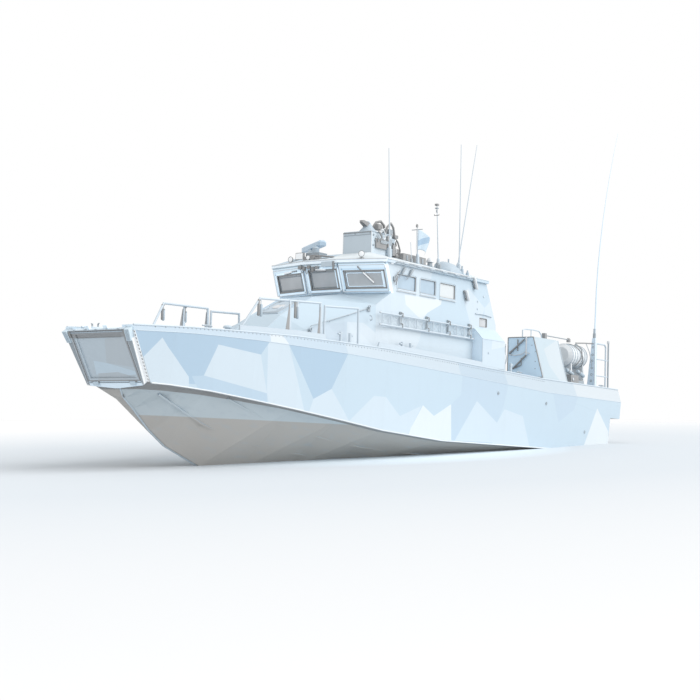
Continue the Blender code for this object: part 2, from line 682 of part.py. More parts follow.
def bitt_pair(name, x, y, foot, outward):
    """Two short posts, each with an arm that points away from the other."""
    posts = []
    for index, way in enumerate((-1, 1)):
        at = x + way * BITT_SPREAD
        posts.append(rod(f"{name}_post_{index}", (at, y, foot), (at, y, foot + BITT_RISE), BITT_RADIUS, rail_paint()))
        arm_z = foot + BITT_RISE - 0.05
        posts.append(rod(f"{name}_arm_{index}", (at - way * 0.01, y, arm_z), (at + way * 0.10, y + outward, arm_z),
                         BITT_RADIUS - 0.012, rail_paint()))
    return posts


def make_toe_rail(name, side):
    rings = []
    for x in stops(TOE_RAIL[0][0], TOE_RAIL[-1][0], TOE_RAIL):
        outer, inner = side * (deck_y(x) - 0.012), side * (deck_y(x) - 0.05)
        low = deck_z(x) + GAP
        high = low + table_value(TOE_RAIL, x, 1)
        rings.append([(x, outer, low), (x, inner, low), (x, inner, high), (x, outer, high)])
    toe_rail = loft("toe_rail_" + name, rings, rail_paint())
    for index, x in enumerate(BITT_X):
        plate_z = seat(x, 0.26) + 0.003
        y = side * (deck_y(x) - 0.16)
        near, far = across(side, deck_y(x) - 0.23, deck_y(x) - 0.041)
        add(toe_rail, block(f"bitt_plate_{name}_{index}", (x - 0.26, near, plate_z), (x + 0.26, far, plate_z + 0.018),
                            rail_paint()))
        add(toe_rail, *bitt_pair(f"bitt_{name}_{index}", x, y, plate_z + 0.01, 0.0))


def make_aft_bitts(name, side):
    x = AFT_BITT_X
    foot = seat(x, 0.26)
    y = side * (deck_y(x) - 0.12)
    near, far = across(side, deck_y(x) - 0.18, deck_y(x) - 0.05)
    plate = block("aft_bitts_" + name, (x - 0.26, near, foot), (x + 0.26, far, foot + 0.018), rail_paint())
    add(plate, *bitt_pair("aft_bitt_" + name, x, y, foot + 0.01, 0.0))


def make_stern_rail(name, side):
    aft, fore = STERN_RAIL_X
    y = side * STERN_RAIL_Y
    points = [(fore, y, seat(fore, RAIL_TUBE)), (fore, y, STERN_RAIL_TOP), (aft + 0.07, y, STERN_RAIL_TOP),
              (aft, y, STERN_RAIL_TOP - 0.07), (aft, y, seat(aft, RAIL_TUBE))]
    rail = bent_tube("stern_rail_" + name, points, RAIL_TUBE, rail_paint())
    for index, z in enumerate(STERN_RAIL_BARS):
        add(rail, rod(f"stern_rail_bar_{name}_{index}", (fore, y, z), (aft, y, z), 0.018, rail_paint()))


def make_ladder():
    """Boarding ladder stowed along the port side of the wheelhouse."""
    low, high = LADDER_Z
    start, end = LADDER_X
    ladder = rod("stowed_ladder", (start, LADDER_Y, high), (end, LADDER_Y, high), 0.020, rail_paint())
    add(ladder, rod("ladder_low", (start, LADDER_Y, low), (end, LADDER_Y, low), 0.024, rail_paint()))
    step = (end - start - 0.2) / (LADDER_RUNGS - 1)
    for index in range(LADDER_RUNGS):
        x = start + 0.1 + index * step
        add(ladder, rod(f"ladder_rung_{index}", (x, LADDER_Y, low), (x, LADDER_Y, high), 0.013, rail_paint(), 6))
    for index, x in enumerate(LADDER_BRACKETS):
        add(ladder, block(f"ladder_bracket_{index}", (x - 0.02, HOUSE_HALF + GAP, low - 0.02),
                          (x + 0.02, LADDER_Y + 0.01, low + 0.02), rail_paint()))


def make_aft_box(name, side):
    foot = seat(AFT_BOX_X[1])
    outline = [(side * y, z) for y, z in ((AFT_BOX_INNER, foot), (AFT_BOX_FOOT, foot),
                                          (AFT_BOX_SHOULDER, AFT_BOX_TOP), (AFT_BOX_INNER, AFT_BOX_TOP))]
    along_x("aft_box_" + name, outline, *AFT_BOX_X, grey_paint())


def make_raft(name, side):
    x, y, z = RAFT[0], side * RAFT[1], RAFT[2]
    stages = ((-RAFT_HALF, 0.7), (0.08 - RAFT_HALF, 1.0), (RAFT_HALF - 0.08, 1.0), (RAFT_HALF, 0.7))
    raft = turned("raft_canister_" + name, [((x + along, y, z), share * RAFT_RADIUS) for along, share in stages],
                  white_plastic(), 20)
    for index, foot_x in enumerate((x - CRADLE_REACH, x + CRADLE_REACH)):
        foot = seat(foot_x, 0.04)
        outline = [(y - 0.28, foot), (y + 0.28, foot), (y + 0.22, z - 0.15), (y - 0.22, z - 0.15)]
        add(raft, along_x(f"raft_cradle_{name}_{index}", outline, foot_x - 0.03, foot_x + 0.03, rail_paint()))


def make_engine_hatch():
    half = ENGINE_HATCH_HALF
    rings = []
    for x in stops(*ENGINE_HATCH_X):
        low = deck_z(x) + GAP
        high = low + ENGINE_HATCH_THICK
        rings.append([(x, -half, low), (x, half, low), (x, half, high), (x, -half, high)])
    loft("engine_hatch", rings, deck_paint())


def make_engine(name, side):
    (x_low, y_low), (x_high, y_high), top = ENGINE
    side_block("engine_" + name, (x_low, x_high), side, (y_low, y_high), (ENGINE_BAY[0][2] + GAP, top), dark_paint())


def stern_whip_x(z):
    """The whip stands straight, then its own weight and the wind bend it aft."""
    return sum(POST_X) / 2 - 0.05 - WHIP_BEND * max(0.0, z - WHIP_STRAIGHT_TO) ** WHIP_POWER


def make_stern_post():
    foot = seat(POST_X[1])
    outline = [(POST_FOOT_Y[0], foot), (POST_FOOT_Y[1], foot), (POST_HEAD_Y[1], POST_TOP), (POST_HEAD_Y[0], POST_TOP)]
    post = along_x("stern_post", outline, *POST_X, grey_paint())
    y = sum(POST_HEAD_Y) / 2
    heights = [POST_TOP - 0.12, WHIP_STRAIGHT_TO] + [WHIP_STRAIGHT_TO + (WHIP_TOP - WHIP_STRAIGHT_TO) * i / 8
                                                    for i in range(1, 9)]
    rings = []
    for index, z in enumerate(heights):
        radius = 0.026 - 0.020 * index / (len(heights) - 1)
        x = sum(POST_X) / 2 if index == 0 else stern_whip_x(z)
        rings.append(ring_about((x, y, z), (0, 0, 1), radius, 6))
    add(post, loft("stern_whip", rings, rail_paint(), smooth=True))


def make_aerials():
    for name, y, foot_x, top_x, top in AERIALS:
        base = roof_top(y)
        stages = ((base - 0.08, 0.05), (base + 0.22, 0.04), (base + 0.27, 0.016), (top, 0.009))
        slope = (top_x - foot_x) / (top - base)
        rings = [ring_about((foot_x + (z - base) * slope, y, z), (0, 0, 1), radius, 8)
                 for z, radius in stages]
        sit_on_roof(loft(name, rings, rail_paint(), smooth=True))


def bucket_arc(radius):
    """Points above the nozzle, around the bucket's axis."""
    start, end = BUCKET_ARC
    angles = [math.radians(start + (end - start) * i / 6) for i in range(7)]
    return [(BUCKET_X - radius * math.cos(a), JET_Z + radius * math.sin(a)) for a in angles]


def make_jet_housing(name, y):
    housing = turned("jet_housing_" + name, [((NOTCH_X - aft, y, JET_Z), r) for aft, r in JET_HOUSING],
                     dark_paint(), 20)
    for place, way in (("top", 1), ("foot", -1)):
        low, high = sorted((JET_Z + way * LUG_Z[0], JET_Z + way * LUG_Z[1]))
        add(housing, block(f"jet_lug_{name}_{place}", (STEER_X - 0.05, y - 0.06, low),
                           (NOTCH_X - 0.03, y + 0.06, high), dark_paint()))


def make_jet_nozzle(name, y):
    angles = [math.radians(a) for a in (15, 40, 65, 90)]
    stages = [((STEER_X + NOZZLE_RADIUS * math.cos(a), y, JET_Z), NOZZLE_RADIUS * math.sin(a)) for a in angles]
    stages.append(((STEER_X - NOZZLE_MOUTH[0], y, JET_Z), NOZZLE_MOUTH[1]))
    nozzle = turned("jet_nozzle_" + name, stages, bare_alloy())
    reach, radius = STEER_PIN
    add(nozzle, rod("steer_pin_" + name, (STEER_X, y, JET_Z - reach), (STEER_X, y, JET_Z + reach), radius,
                    bare_alloy()))
    reach, radius = BUCKET_PIN
    add(nozzle, rod("bucket_pin_" + name, (BUCKET_X, y - reach, JET_Z), (BUCKET_X, y + reach, JET_Z), radius,
                    bare_alloy()))


def make_jet_bucket(name, y):
    """A curved plate over the nozzle, hung from its pin by a cheek on each side."""
    inner, outer = (bucket_arc(radius) for radius in BUCKET_RADII)
    bucket = along_y("jet_bucket_" + name, outer + inner[::-1], y - BUCKET_HALF, y + BUCKET_HALF, dark_paint())
    middle = bucket_arc(sum(BUCKET_RADII) / 2)
    cheek = [middle[0], middle[2], middle[4], middle[6], (BUCKET_X + 0.05, JET_Z), (BUCKET_X, JET_Z - 0.05),
             (BUCKET_X - 0.05, JET_Z)]
    pin_end = BUCKET_PIN[0] + GAP
    for index, ends in enumerate(((y - pin_end - 0.03, y - pin_end), (y + pin_end, y + pin_end + 0.03))):
        add(bucket, along_y(f"bucket_cheek_{name}_{index}", cheek, *ends, dark_paint()))


def make_sides():
    """Everything that is the same on port and starboard."""
    for name, side in SIDES:
        make_house_side(name, side)
        make_side_glass(name, side)
        make_locker(name, side)
        deck_rail("bow_rail_" + name, BOW_RAIL, (BOW_RAIL_LEG_X, BOW_RAIL[3][0]), side)
        deck_rail("side_rail_" + name, SIDE_RAIL, (), side)
        make_toe_rail(name, side)
        make_aft_bitts(name, side)
        make_stern_rail(name, side)
        make_aft_box(name, side)
        make_raft(name, side)
        make_engine(name, side)
        make_jet_housing(name, side * JET_Y)
        make_jet_nozzle(name, side * JET_Y)
        make_jet_bucket(name, side * JET_Y)


def main():
    clear_scene()
    make_hull()
    make_bow_frame()
    make_ramp()
    make_trunk()
    make_house_front()
    make_house_aft()
    make_roof()
    make_roof_tub()
    make_radar()
    make_roof_box()
    make_aerials()
    make_sides()
    make_ladder()
    make_engine_hatch()
    make_stern_post()


main()
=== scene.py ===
import math

import bmesh
import bpy
from mathutils import Matrix, Vector


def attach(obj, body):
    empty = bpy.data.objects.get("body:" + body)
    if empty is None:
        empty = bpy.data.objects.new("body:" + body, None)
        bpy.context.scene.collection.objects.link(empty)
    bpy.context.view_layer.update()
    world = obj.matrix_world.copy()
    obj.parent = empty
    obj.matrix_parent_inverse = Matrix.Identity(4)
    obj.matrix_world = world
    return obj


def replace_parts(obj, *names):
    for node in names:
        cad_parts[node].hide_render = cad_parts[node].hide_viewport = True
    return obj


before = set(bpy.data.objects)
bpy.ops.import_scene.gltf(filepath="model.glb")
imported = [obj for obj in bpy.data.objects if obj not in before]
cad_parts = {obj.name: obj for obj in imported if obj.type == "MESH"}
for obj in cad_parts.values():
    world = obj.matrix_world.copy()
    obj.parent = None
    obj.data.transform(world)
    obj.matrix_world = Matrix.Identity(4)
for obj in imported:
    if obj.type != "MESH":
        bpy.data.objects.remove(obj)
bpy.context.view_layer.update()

SIDES = (("port", 1), ("stbd", -1))
UP, DOWN = (0, 0, 1), (0, 0, -1)
AHEAD, ASTERN = (1, 0, 0), (-1, 0, 0)

# Camera: where it stands, where it looks, and its focal length in photo pixels.
PHOTO_SIZE = 700
CAMERA_AT = (30.882, 21.5375, -0.74)
CAMERA_YAW = 0.6283
CAMERA_PITCH = 0.0736
CAMERA_ROLL = 0.0293
FOCAL_PIXELS = 1479.73
SENSOR_MM = 36.0

# The boat runs bow-up, so the water meets it on a plane that tilts in its own frame.
WATER_ORIGIN_X = -9.9
WATER_FALL = (-0.0586, -0.0064)     # rise of the water for each metre forward, to port
WATER_RADIUS = 34.0

# How much light reaches a face: in the sun, in shade and under the hull,
# on the bevel below the deck, under the roof's edge, and on faces near the stern that look ahead.
LIT, SHADED, UNDER = 1.42, 0.86, 0.62
BEVEL, EAVES, STERN = 1.70, 0.50, 0.70
SUN_FROM = (-0.30, 0.80, 0.75)
SUN_POWER = 2.6

# Driving sizes that part.py also has.
KEEL_HALF = 0.06
CHINE_FLAT, CHINE_DROP = 0.17, 0.03
STATIONS = (     # x, keel z, chine y, chine z, knuckle y, knuckle z, deck edge y, deck edge z
    (-9.90, -0.92, 1.90, -0.30, 2.03, 1.20, 1.92, 1.58),
    (-5.00, -1.05, 2.00, -0.28, 2.15, 1.24, 2.04, 1.61),
    (0.00, -1.10, 1.98, -0.22, 2.13, 1.46, 2.02, 1.78),
    (2.50, -1.10, 1.93, -0.05, 2.06, 1.57, 1.95, 1.86),
    (4.00, -1.10, 1.84, 0.13, 1.96, 1.63, 1.85, 1.88),
    (5.50, -1.07, 1.68, 0.31, 1.79, 1.68, 1.68, 1.90),
    (6.75, -0.98, 1.46, 0.46, 1.57, 1.72, 1.46, 1.89),
    (7.80, -0.58, 1.24, 0.58, 1.36, 1.73, 1.26, 1.87),
    (8.30, -0.26, 1.12, 0.62, 1.26, 1.73, 1.17, 1.86),
    (8.80, 0.18, 1.02, 0.655, 1.16, 1.72, 1.08, 1.84),
    (9.24, 0.38, 0.90, 0.67, 0.99, 1.68, 0.93, 1.79),
)
SILL = (9.24, 0.67)                 # foot of the leaning bow plane, x and z
BOW_LEAN = 0.574
HOUSE_HALF = 1.70
FRONT_X = (2.27, 1.97)
FACET_Y = 0.52
SILL_LINE = 3.24
FRONT_RAKE = 0.26 / 0.71
# Both edges of each front window's frame, as y.
FRONT_WINDOWS = ((-1.69, -0.55), (-0.49, 0.49), (0.55, 1.69))
# Outer edges of the black bezels round the front panes. Columns: y, y, z, z.
FRONT_BEZELS = (
    (-1.57, -0.63, 3.345, 3.755),
    (-0.37, 0.47, 3.345, 3.80),
    (0.65, 1.655, 3.345, 3.755),
)
SIDE_GLASS_X = ((0.92, 1.72), (0.03, 0.72), (-0.89, -0.18))
ROOF_TOP, ROOF_SHOULDER, ROOF_HALF, ROOF_EAVE = 4.25, 1.05, 1.76, 4.03
RAMP_OUT = 0.09                     # how far the ramp stands out from the bow plane
WELL_AFT = 5.10                     # aft wall of the bow well
# Trunk. Columns: x, strip half width, top z, ridge y, ridge z.
TRUNK = (
    (2.27, 0.52, 3.24, 1.66, 3.05),
    (2.50, 0.52, 3.18, 1.63, 2.90),
    (3.48, 0.50, 3.02, 1.43, 2.54),
    (4.60, 0.465, 2.50, 1.197, 2.134),
    (WELL_AFT, 0.45, 2.13, 1.08, 1.98),
)
LOCKER_X, LOCKER_Y = (-2.95, -1.80), 2.00
RAFT = (-7.86, 1.36, 2.45)
JET_Y, JET_Z = 0.64, -0.22

TRIM_AFT, TRIM_FORE = -9.88, 9.22   # ends of the trim along the hull, as stations
# Spray rails under the bottom. Columns: distance off the centreline, aft station, fore station.
SPRAY_RAILS = ((0.64, -6.0, 8.72), (1.18, -6.0, 7.2))
# Overboard outlets. Columns: station, share of the way up from the chine to the knuckle.
OUTLETS = ((-2.45, 0.83), (-5.05, 0.80), (-7.6, 0.35))
# Cables behind the shield box and beside it. Columns: path, radius, look.
TUB_CABLES = (
    (((1.08, 0.45, 4.75), (1.12, 0.50, 5.00), (1.04, 0.55, 5.15),
      (0.92, 0.60, 5.19), (0.80, 0.62, 5.10), (0.78, 0.62, 4.90)), 0.036, "black"),
    (((0.96, 0.75, 4.80), (0.90, 0.80, 5.05), (0.76, 0.80, 5.15),
      (0.62, 0.78, 5.06), (0.56, 0.78, 4.86), (0.52, 0.80, 4.60)), 0.030, "black"),
    (((1.10, 0.70, 4.78), (1.02, 0.72, 4.94), (0.88, 0.70, 5.00),
      (0.72, 0.70, 4.94), (0.64, 0.70, 4.80)), 0.026, "white"),
    (((0.62, 0.55, 4.60), (0.48, 0.60, 4.78), (0.44, 0.62, 4.92), (0.52, 0.66, 5.00)), 0.024, "dark"),
    (((0.48, 0.86, 4.24), (0.44, 0.88, 4.50), (0.52, 0.86, 4.70), (0.62, 0.84, 4.80)), 0.022, "black"),
    (((0.98, 0.95, 4.24), (0.90, 0.96, 4.50), (0.98, 0.94, 4.66), (0.88, 0.92, 4.84)), 0.024, "black"),
    (((0.72, 0.90, 4.24), (0.66, 0.92, 4.46), (0.74, 0.90, 4.62), (0.66, 0.88, 4.74)), 0.018, "white"),
)
TUB_SIDE_CABLES = (
    (((1.60, 1.095, 4.86), (1.50, 1.10, 4.84), (1.42, 1.10, 4.76),
      (1.42, 1.10, 4.66), (1.50, 1.10, 4.62)), 0.018, "white"),
    (((1.70, 1.09, 4.80), (1.62, 1.10, 4.74), (1.56, 1.10, 4.66), (1.62, 1.09, 4.58)), 0.020, "black"),
    (((1.78, 1.08, 4.68), (1.70, 1.10, 4.62), (1.72, 1.10, 4.54)), 0.014, "dark"),
)
# Boxes behind the shield box and beside it. Columns: lowest corner, highest corner, look.
TUB_BOXES = (
    ((0.92, 0.50, 4.96), (1.10, 0.66, 5.10), "black"),
    ((0.66, 0.60, 4.84), (0.84, 0.80, 5.00), "dark"),
    ((0.24, 0.56, 4.84), (0.48, 0.68, 4.92), "black"),
    ((0.40, 0.60, 4.66), (0.56, 0.74, 4.86), "dark"),
    ((0.50, 0.62, 4.24), (0.62, 0.90, 4.52), "black"),
    ((1.20, 1.035, 4.62), (1.30, 1.09, 4.74), "black"),
    ((1.08, 1.035, 4.54), (1.17, 1.08, 4.68), "dark"),
    ((1.22, 1.035, 4.46), (1.30, 1.10, 4.55), "black"),
    ((0.84, 0.90, 4.30), (0.96, 1.02, 4.56), "black"),
    ((0.86, 0.88, 4.62), (1.02, 1.00, 4.72), "grey"),
)
TUB_SIDE_BOXES = (
    ((1.33, 1.035, 4.39), (1.77, 1.085, 4.62), "black"),
    ((1.34, 1.080, 4.52), (1.60, 1.100, 4.60), "dark"),
    ((1.10, 1.035, 4.26), (1.30, 1.10, 4.44), "grey"),
)
# Small boxes under the roof's front edge. Columns: y, middle z, width, height.
EAVE_BOXES = (
    (-0.62, 3.88, 0.10, 0.08),
    (-0.48, 3.85, 0.06, 0.10),
    (-0.35, 3.88, 0.09, 0.07),
    (-0.20, 3.83, 0.05, 0.11),
    (-0.09, 3.86, 0.07, 0.06),
)
# Small boxes on it. Columns: x, y, middle z, width, height.
BROW_BOXES = (
    (2.55, -0.52, 4.08, 0.12, 0.12),
    (2.58, -0.28, 4.07, 0.10, 0.16),
    (2.57, -0.14, 4.08, 0.14, 0.10),
    (2.50, 0.02, 4.06, 0.16, 0.08),
)
# Non-slip panels of the decks. Columns: aft x, fore x, inner y, outer y.
DECK_PANELS = (
    (7.15, 8.65, 0.74, 1.40),
    (5.65, 7.0, 1.02, 1.55),
    (2.6, 3.5, 1.72, 1.9),
    (-8.3, -6.7, 0.74, 1.25),
    (-9.7, -8.65, 0.2, 1.70),
    (-5.0, -3.05, 1.84, 1.98),
)
# Tubes and cables on the fore face of an aft box. Columns: path as y, z and distance out, radius, look.
AFT_BOX_FACE = -5.10
AFT_BOX_TUBES = (
    (((1.985, 1.66, 0.004), (1.668, 2.80, 0.004)), 0.010, "white"),
    (((1.46, 2.28, 0.05), (1.46, 2.80, 0.05)), 0.022, "white"),
    (((0.92, 2.30, 0.03), (1.10, 2.27, 0.035), (1.30, 2.30, 0.04),
      (1.44, 2.37, 0.05), (1.56, 2.31, 0.04)), 0.013, "white"),
    (((0.92, 2.33, 0.04), (1.40, 2.72, 0.04)), 0.024, "black"),
    (((1.04, 1.90, 0.04), (1.46, 2.28, 0.04)), 0.024, "black"),
    (((1.18, 2.72, 0.03), (1.18, 2.40, 0.03)), 0.016, "black"),
    (((1.30, 2.20, 0.03), (1.30, 2.0, 0.03), (1.10, 1.92, 0.03)), 0.014, "black"),
)
# Lines between the raft canisters and the stern post, to port. Columns: path, radius, look.
STERN_LINES = (
    (((-7.50, 1.72, 2.80), (-8.02, 1.72, 2.84), (-8.48, 1.80, 2.86)), 0.020, "black"),
    (((-8.12, 1.74, 2.83), (-8.30, 1.76, 2.60), (-8.46, 1.78, 2.15)), 0.012, "rope"),
)


def clear(name):
    old = bpy.data.materials.get(name)
    if old:
        bpy.data.materials.remove(old)


def tone(red, green, blue, light=LIT):
    """The paint that looks like a screen colour, 0 to 255, on a face that gets this much light."""
    return tuple(((c / 255 + 0.055) / 1.055) ** 2.4 / light for c in (red, green, blue))


# Paints, as the faded photograph shows them.
DEEP = tone(186, 211, 231)
MIST = tone(198, 220, 237)
HAZE = tone(204, 223, 238)
MID = tone(209, 228, 241)
PALE = tone(222, 236, 246)
BRIGHT = tone(238, 246, 250)
BLACK = tone(166, 166, 166)
DARK = tone(176, 186, 193)
SHADE = tone(190, 206, 218)
RUBBER = tone(165, 170, 174, light=0.72)
# BOTTOM is the dark paint low on the bottom, and it is also painted shade on the whole starboard bottom.
BOTTOM = tone(143, 140, 136, UNDER)
BOTTOM_HIGH = tone(151, 159, 163, UNDER)
BAND = tone(204, 223, 238, BEVEL)
BAND_PALE = tone(216, 231, 242, BEVEL)
BAND_BRIGHT = tone(232, 241, 247, BEVEL)
DECK = tone(206, 220, 231)
GLASS_FRONT = tone(181, 184, 187, SHADED)
GLASS_SIDE = tone(205, 228, 246)
GLASS_SKY_LIGHT = tone(245, 252, 255)
FRAME = tone(174, 187, 196, EAVES)
FRAME_LIGHT = tone(190, 205, 216, EAVES)
FRAME_SUNLIT = tone(187, 207, 222, light=0.70)
# BOW_FACE is painted light on the bow's shaded forward faces; the lugs on the ramp's top take it too, to
# match the bar above them.
BOW_FACE = tone(214, 228, 238, SHADED)
HOUSE_FRONT = tone(214, 230, 242)
ROOF_FRONT = tone(232, 241, 248, SHADED)
LOCKER_FRONT = tone(212, 228, 240, light=0.88)
BOX_SIDE = tone(220, 238, 248, light=1.75)
BOX_PALE = tone(232, 244, 251, light=1.75)
AFT_FACE = tone(183, 202, 216, STERN)
POST = tone(173, 188, 200, STERN)
PEDESTAL = tone(178, 190, 198, light=0.97)
SCANNER = tone(200, 224, 243)
SILL_PAINT = tone(175, 187, 196, light=0.55)
PAD = tone(226, 243, 254)
STRAP = tone(196, 212, 222)
RAIL = tone(216, 229, 239)
WHITE = tone(244, 248, 251)
STEEL = tone(196, 207, 215)
ROPE = tone(240, 244, 247)
RAMP_LEFT = tone(173, 184, 192, SHADED)
RAMP_RIGHT = tone(170, 178, 184, SHADED)
RAMP_LOW = tone(180, 195, 206, SHADED)
RAMP_GAP_SHADE = tone(140, 142, 144, SHADED)
FLOOR_PAINTED_LIGHT = tone(225, 240, 250, light=1.15)
FLOOR_MIDDLE = tone(236, 243, 249, light=1.60)
FLOOR_FAR = (0.66, 0.66, 0.66)

# The pattern to starboard is the port one turned end for end: x there becomes one of these less x.
HULL_TURN, HOUSE_TURN = 0.4, -0.7
# How far up a face looks, from -1 to 1, where the hull's paint changes to the next.
UP_BEVEL, UP_DECK, UP_BOTTOM, UP_FLAT_SHADE = 0.12, 0.9, -0.3, -0.95
BOW_FACE_FROM = 1.3                 # lowest z of the painted light on the bow's forward faces
ROOF_FROM, ROOF_FRONT_FROM = 3.8, 3.9
AFT_BOXES_FROM = -4.0               # the aft boxes lie aft of this x

# Splinters of the painted pattern on the hull's sides, later rows over earlier ones.
# Columns: paint, corners of a convex shape as x and z.
HULL_SPLINTERS = (
    (DEEP, ((10.2, 2.0), (6.19, 2.0), (6.61, 1.42), (8.2, 0.70), (10.2, 0.70))),
    (PALE, ((9.14, 1.585), (8.37, 0.84), (8.25, 0.20), (10.4, 0.22))),
    (MIST, ((8.30, 0.86), (8.01, 0.89), (6.34, 0.62), (6.28, 0.20), (7.80, 0.20))),
    (PALE, ((8.01, 0.89), (7.74, 1.55), (6.61, 1.42), (6.34, 0.61))),
    (PALE, ((6.61, 1.42), (6.19, 2.0), (6.0, 2.0), (5.86, 1.69),
            (4.975, 0.56), (4.60, 0.0), (6.28, 0.0), (6.34, 0.62))),
    (PALE, ((4.975, 0.56), (4.43, 0.81), (3.75, 0.12), (3.60, -0.1), (5.2, -0.1))),
    (DEEP, ((6.10, 2.0), (4.975, 0.56), (4.43, 0.81), (3.80, 2.0))),
    (PALE, ((3.75, 0.12), (2.94, 0.73), (2.50, 0.73), (1.88, 0.31), (1.70, -0.2), (3.90, -0.2))),
    (PALE, ((1.88, 0.31), (0.97, 0.61), (1.38, 0.04), (1.60, -0.3), (2.2, -0.2))),
    (BRIGHT, ((1.38, 0.04), (0.97, 0.61), (0.46, 0.37), (0.40, -0.2), (1.50, -0.2))),
    (BRIGHT, ((0.46, 0.37), (-0.25, 0.69), (-0.40, 0.05), (-0.44, -0.2), (0.50, -0.2))),
    (HAZE, ((-0.56, 2.0), (-0.66, 0.94), (-0.70, -0.3), (-2.2, -0.3),
            (-2.54, 0.31), (-2.80, 0.79), (-3.1, 2.0))),
    (HAZE, ((-0.66, 0.94), (-0.25, 0.69), (-0.42, -0.2), (-0.75, -0.2))),
    (PALE, ((-0.58, -0.2), (-1.445, 0.83), (-2.54, 0.31), (-2.7, -0.2))),
    (PALE, ((-2.54, 0.31), (-2.85, 0.68), (-3.85, 0.54), (-4.4, -0.3), (-2.4, -0.3))),
    (HAZE, ((-4.9, 2.0), (-5.9, 0.45), (-6.8, 0.85), (-7.3, 2.0))),
    (BRIGHT, ((-7.5, -0.4), (-8.3, 0.95), (-9.2, 0.30), (-9.4, -0.4))),
)


def chine_shade(aft, fore):
    """Painted shade: the black stretch of the bottom under the chine, between two stations."""
    end = fore[0] + 0.05
    low_aft, low_fore = (row[3] - 0.02 - 0.027 * (row[0] - 5.5) for row in (aft, fore))
    return BLACK, ((aft[0], aft[3] + 0.1), (end, fore[3] + 0.1), (end, low_fore), (aft[0], low_aft))


UNDER_CHINE_SHADE = [chine_shade(aft, fore) for aft, fore in zip(STATIONS[5:], STATIONS[6:])]
# On the bevel between the knuckle and the deck.
BAND_SPLINTERS = (
    (BAND_BRIGHT, ((6.42, 1.60), (6.20, 2.1), (6.05, 2.1), (5.80, 1.60))),
    (BAND_PALE, ((4.02, 1.4), (3.95, 2.1), (-0.60, 2.1), (-0.55, 1.2))),
    (BAND_PALE, ((-2.95, 1.1), (-2.80, 2.0), (-10.0, 2.0), (-10.0, 1.0))),
    (BAND_BRIGHT, ((-6.95, 1.0), (-6.75, 2.0), (-10.0, 2.0), (-10.0, 1.0))),
)
# On the sides of the wheelhouse, trunk and lockers.
HOUSE_SPLINTERS = (
    (BOX_SIDE, ((-7.0, 1.0), (-7.0, 3.0), (-4.8, 3.0), (-4.8, 1.0))),
    (PALE, ((2.50, 1.5), (2.50, 2.9), (2.05, 4.2), (-0.30, 4.2), (-0.27, 3.30), (0.70, 2.2), (0.9, 1.5))),
    (BRIGHT, ((1.40, 3.26), (1.34, 3.02), (0.78, 2.77), (0.57, 2.755), (0.38, 2.91), (0.30, 3.28))),
    (BRIGHT, ((0.38, 2.91), (0.34, 3.29), (-0.27, 3.295), (-0.24, 3.18))),
    (PALE, ((-1.33, 3.41), (-1.51, 3.75), (-2.37, 3.31), (-2.10, 2.75), (-1.69, 2.77))),
    (PALE, ((-2.37, 3.31), (-2.42, 3.80), (-3.1, 3.2), (-3.1, 2.35),
            (-2.25, 2.20), (-1.76, 2.49), (-1.69, 2.77))),
    (PALE, ((3.40, 1.5), (3.39, 2.42), (2.87, 2.44), (2.42, 2.19), (2.3, 1.5))),
    (HAZE, ((4.6, 1.7), (4.4, 2.25), (3.39, 2.42), (3.5, 1.7))),
    (BOX_PALE, ((-5.55, 2.48), (-6.6, 2.85), (-6.6, 1.6), (-6.10, 1.62), (-5.66, 2.01))),
)
# On the ramp. Columns: paint, corners as y and z.
RAMP_SPLINTERS = (
    (RAMP_RIGHT, ((-0.06, 1.06), (0.16, 1.6), (0.8, 1.6), (0.8, 0.95))),
    (RAMP_LOW, ((-0.40, 1.14), (-0.06, 1.06), (0.68, 0.95), (0.68, 0.74), (0.0, 0.80), (-0.48, 0.78))),
    (RAMP_RIGHT, ((-0.40, 0.86), (0.17, 0.88), (0.68, 0.76), (0.68, 0.6), (-0.48, 0.6))),
    (RAMP_LEFT, ((-0.56, 1.57), (-0.07, 1.49), (0.43, 1.57))),
    # Painted shade: black bands along the ramp's top, sides and foot, where the recess and the gaps round the
    # ramp lie in shade.
    (RAMP_GAP_SHADE, ((-0.8, 1.553), (-0.8, 1.8), (0.8, 1.8), (0.8, 1.553))),
    (RAMP_GAP_SHADE, ((0.705, 0.6), (0.705, 1.8), (0.8, 1.8), (0.8, 0.6))),
    (RAMP_GAP_SHADE, ((-0.8, 0.6), (-0.8, 1.8), (-0.705, 1.8), (-0.705, 0.6))),
    (RAMP_GAP_SHADE, ((-0.8, 0.6), (-0.8, 0.725), (0.8, 0.725), (0.8, 0.6))),
    (RAMP_LOW, ((-0.8, 0.6), (-0.8, 0.700), (0.8, 0.700), (0.8, 0.6))),
    (BOW_FACE, ((-0.8, 1.715), (-0.8, 1.95), (0.8, 1.95), (0.8, 1.715))),
)
# On the roof and on the trunk's top. Columns: paint, corners as x and y.
ROOF_SPLINTERS = (
    (PALE, ((2.6, 2.0), (0.6, -0.4), (-1.4, 0.8), (-1.0, 2.0))),
    (BRIGHT, ((2.6, 2.0), (2.6, 0.3), (1.2, 0.2), (0.2, 2.0))),
    (PALE, ((-1.2, -2.0), (-0.9, -0.6), (-2.6, -0.1), (-2.6, -2.0))),
    (HAZE, ((2.6, -2.0), (2.6, -1.2), (1.3, -0.5), (0.1, -2.0))),
)
TRUNK_SPLINTERS = (
    (MIST, ((4.2, -0.50), (3.48, -0.52), (2.5, -0.54), (2.5, 0.50), (3.48, 0.48), (4.2, 0.46))),
)


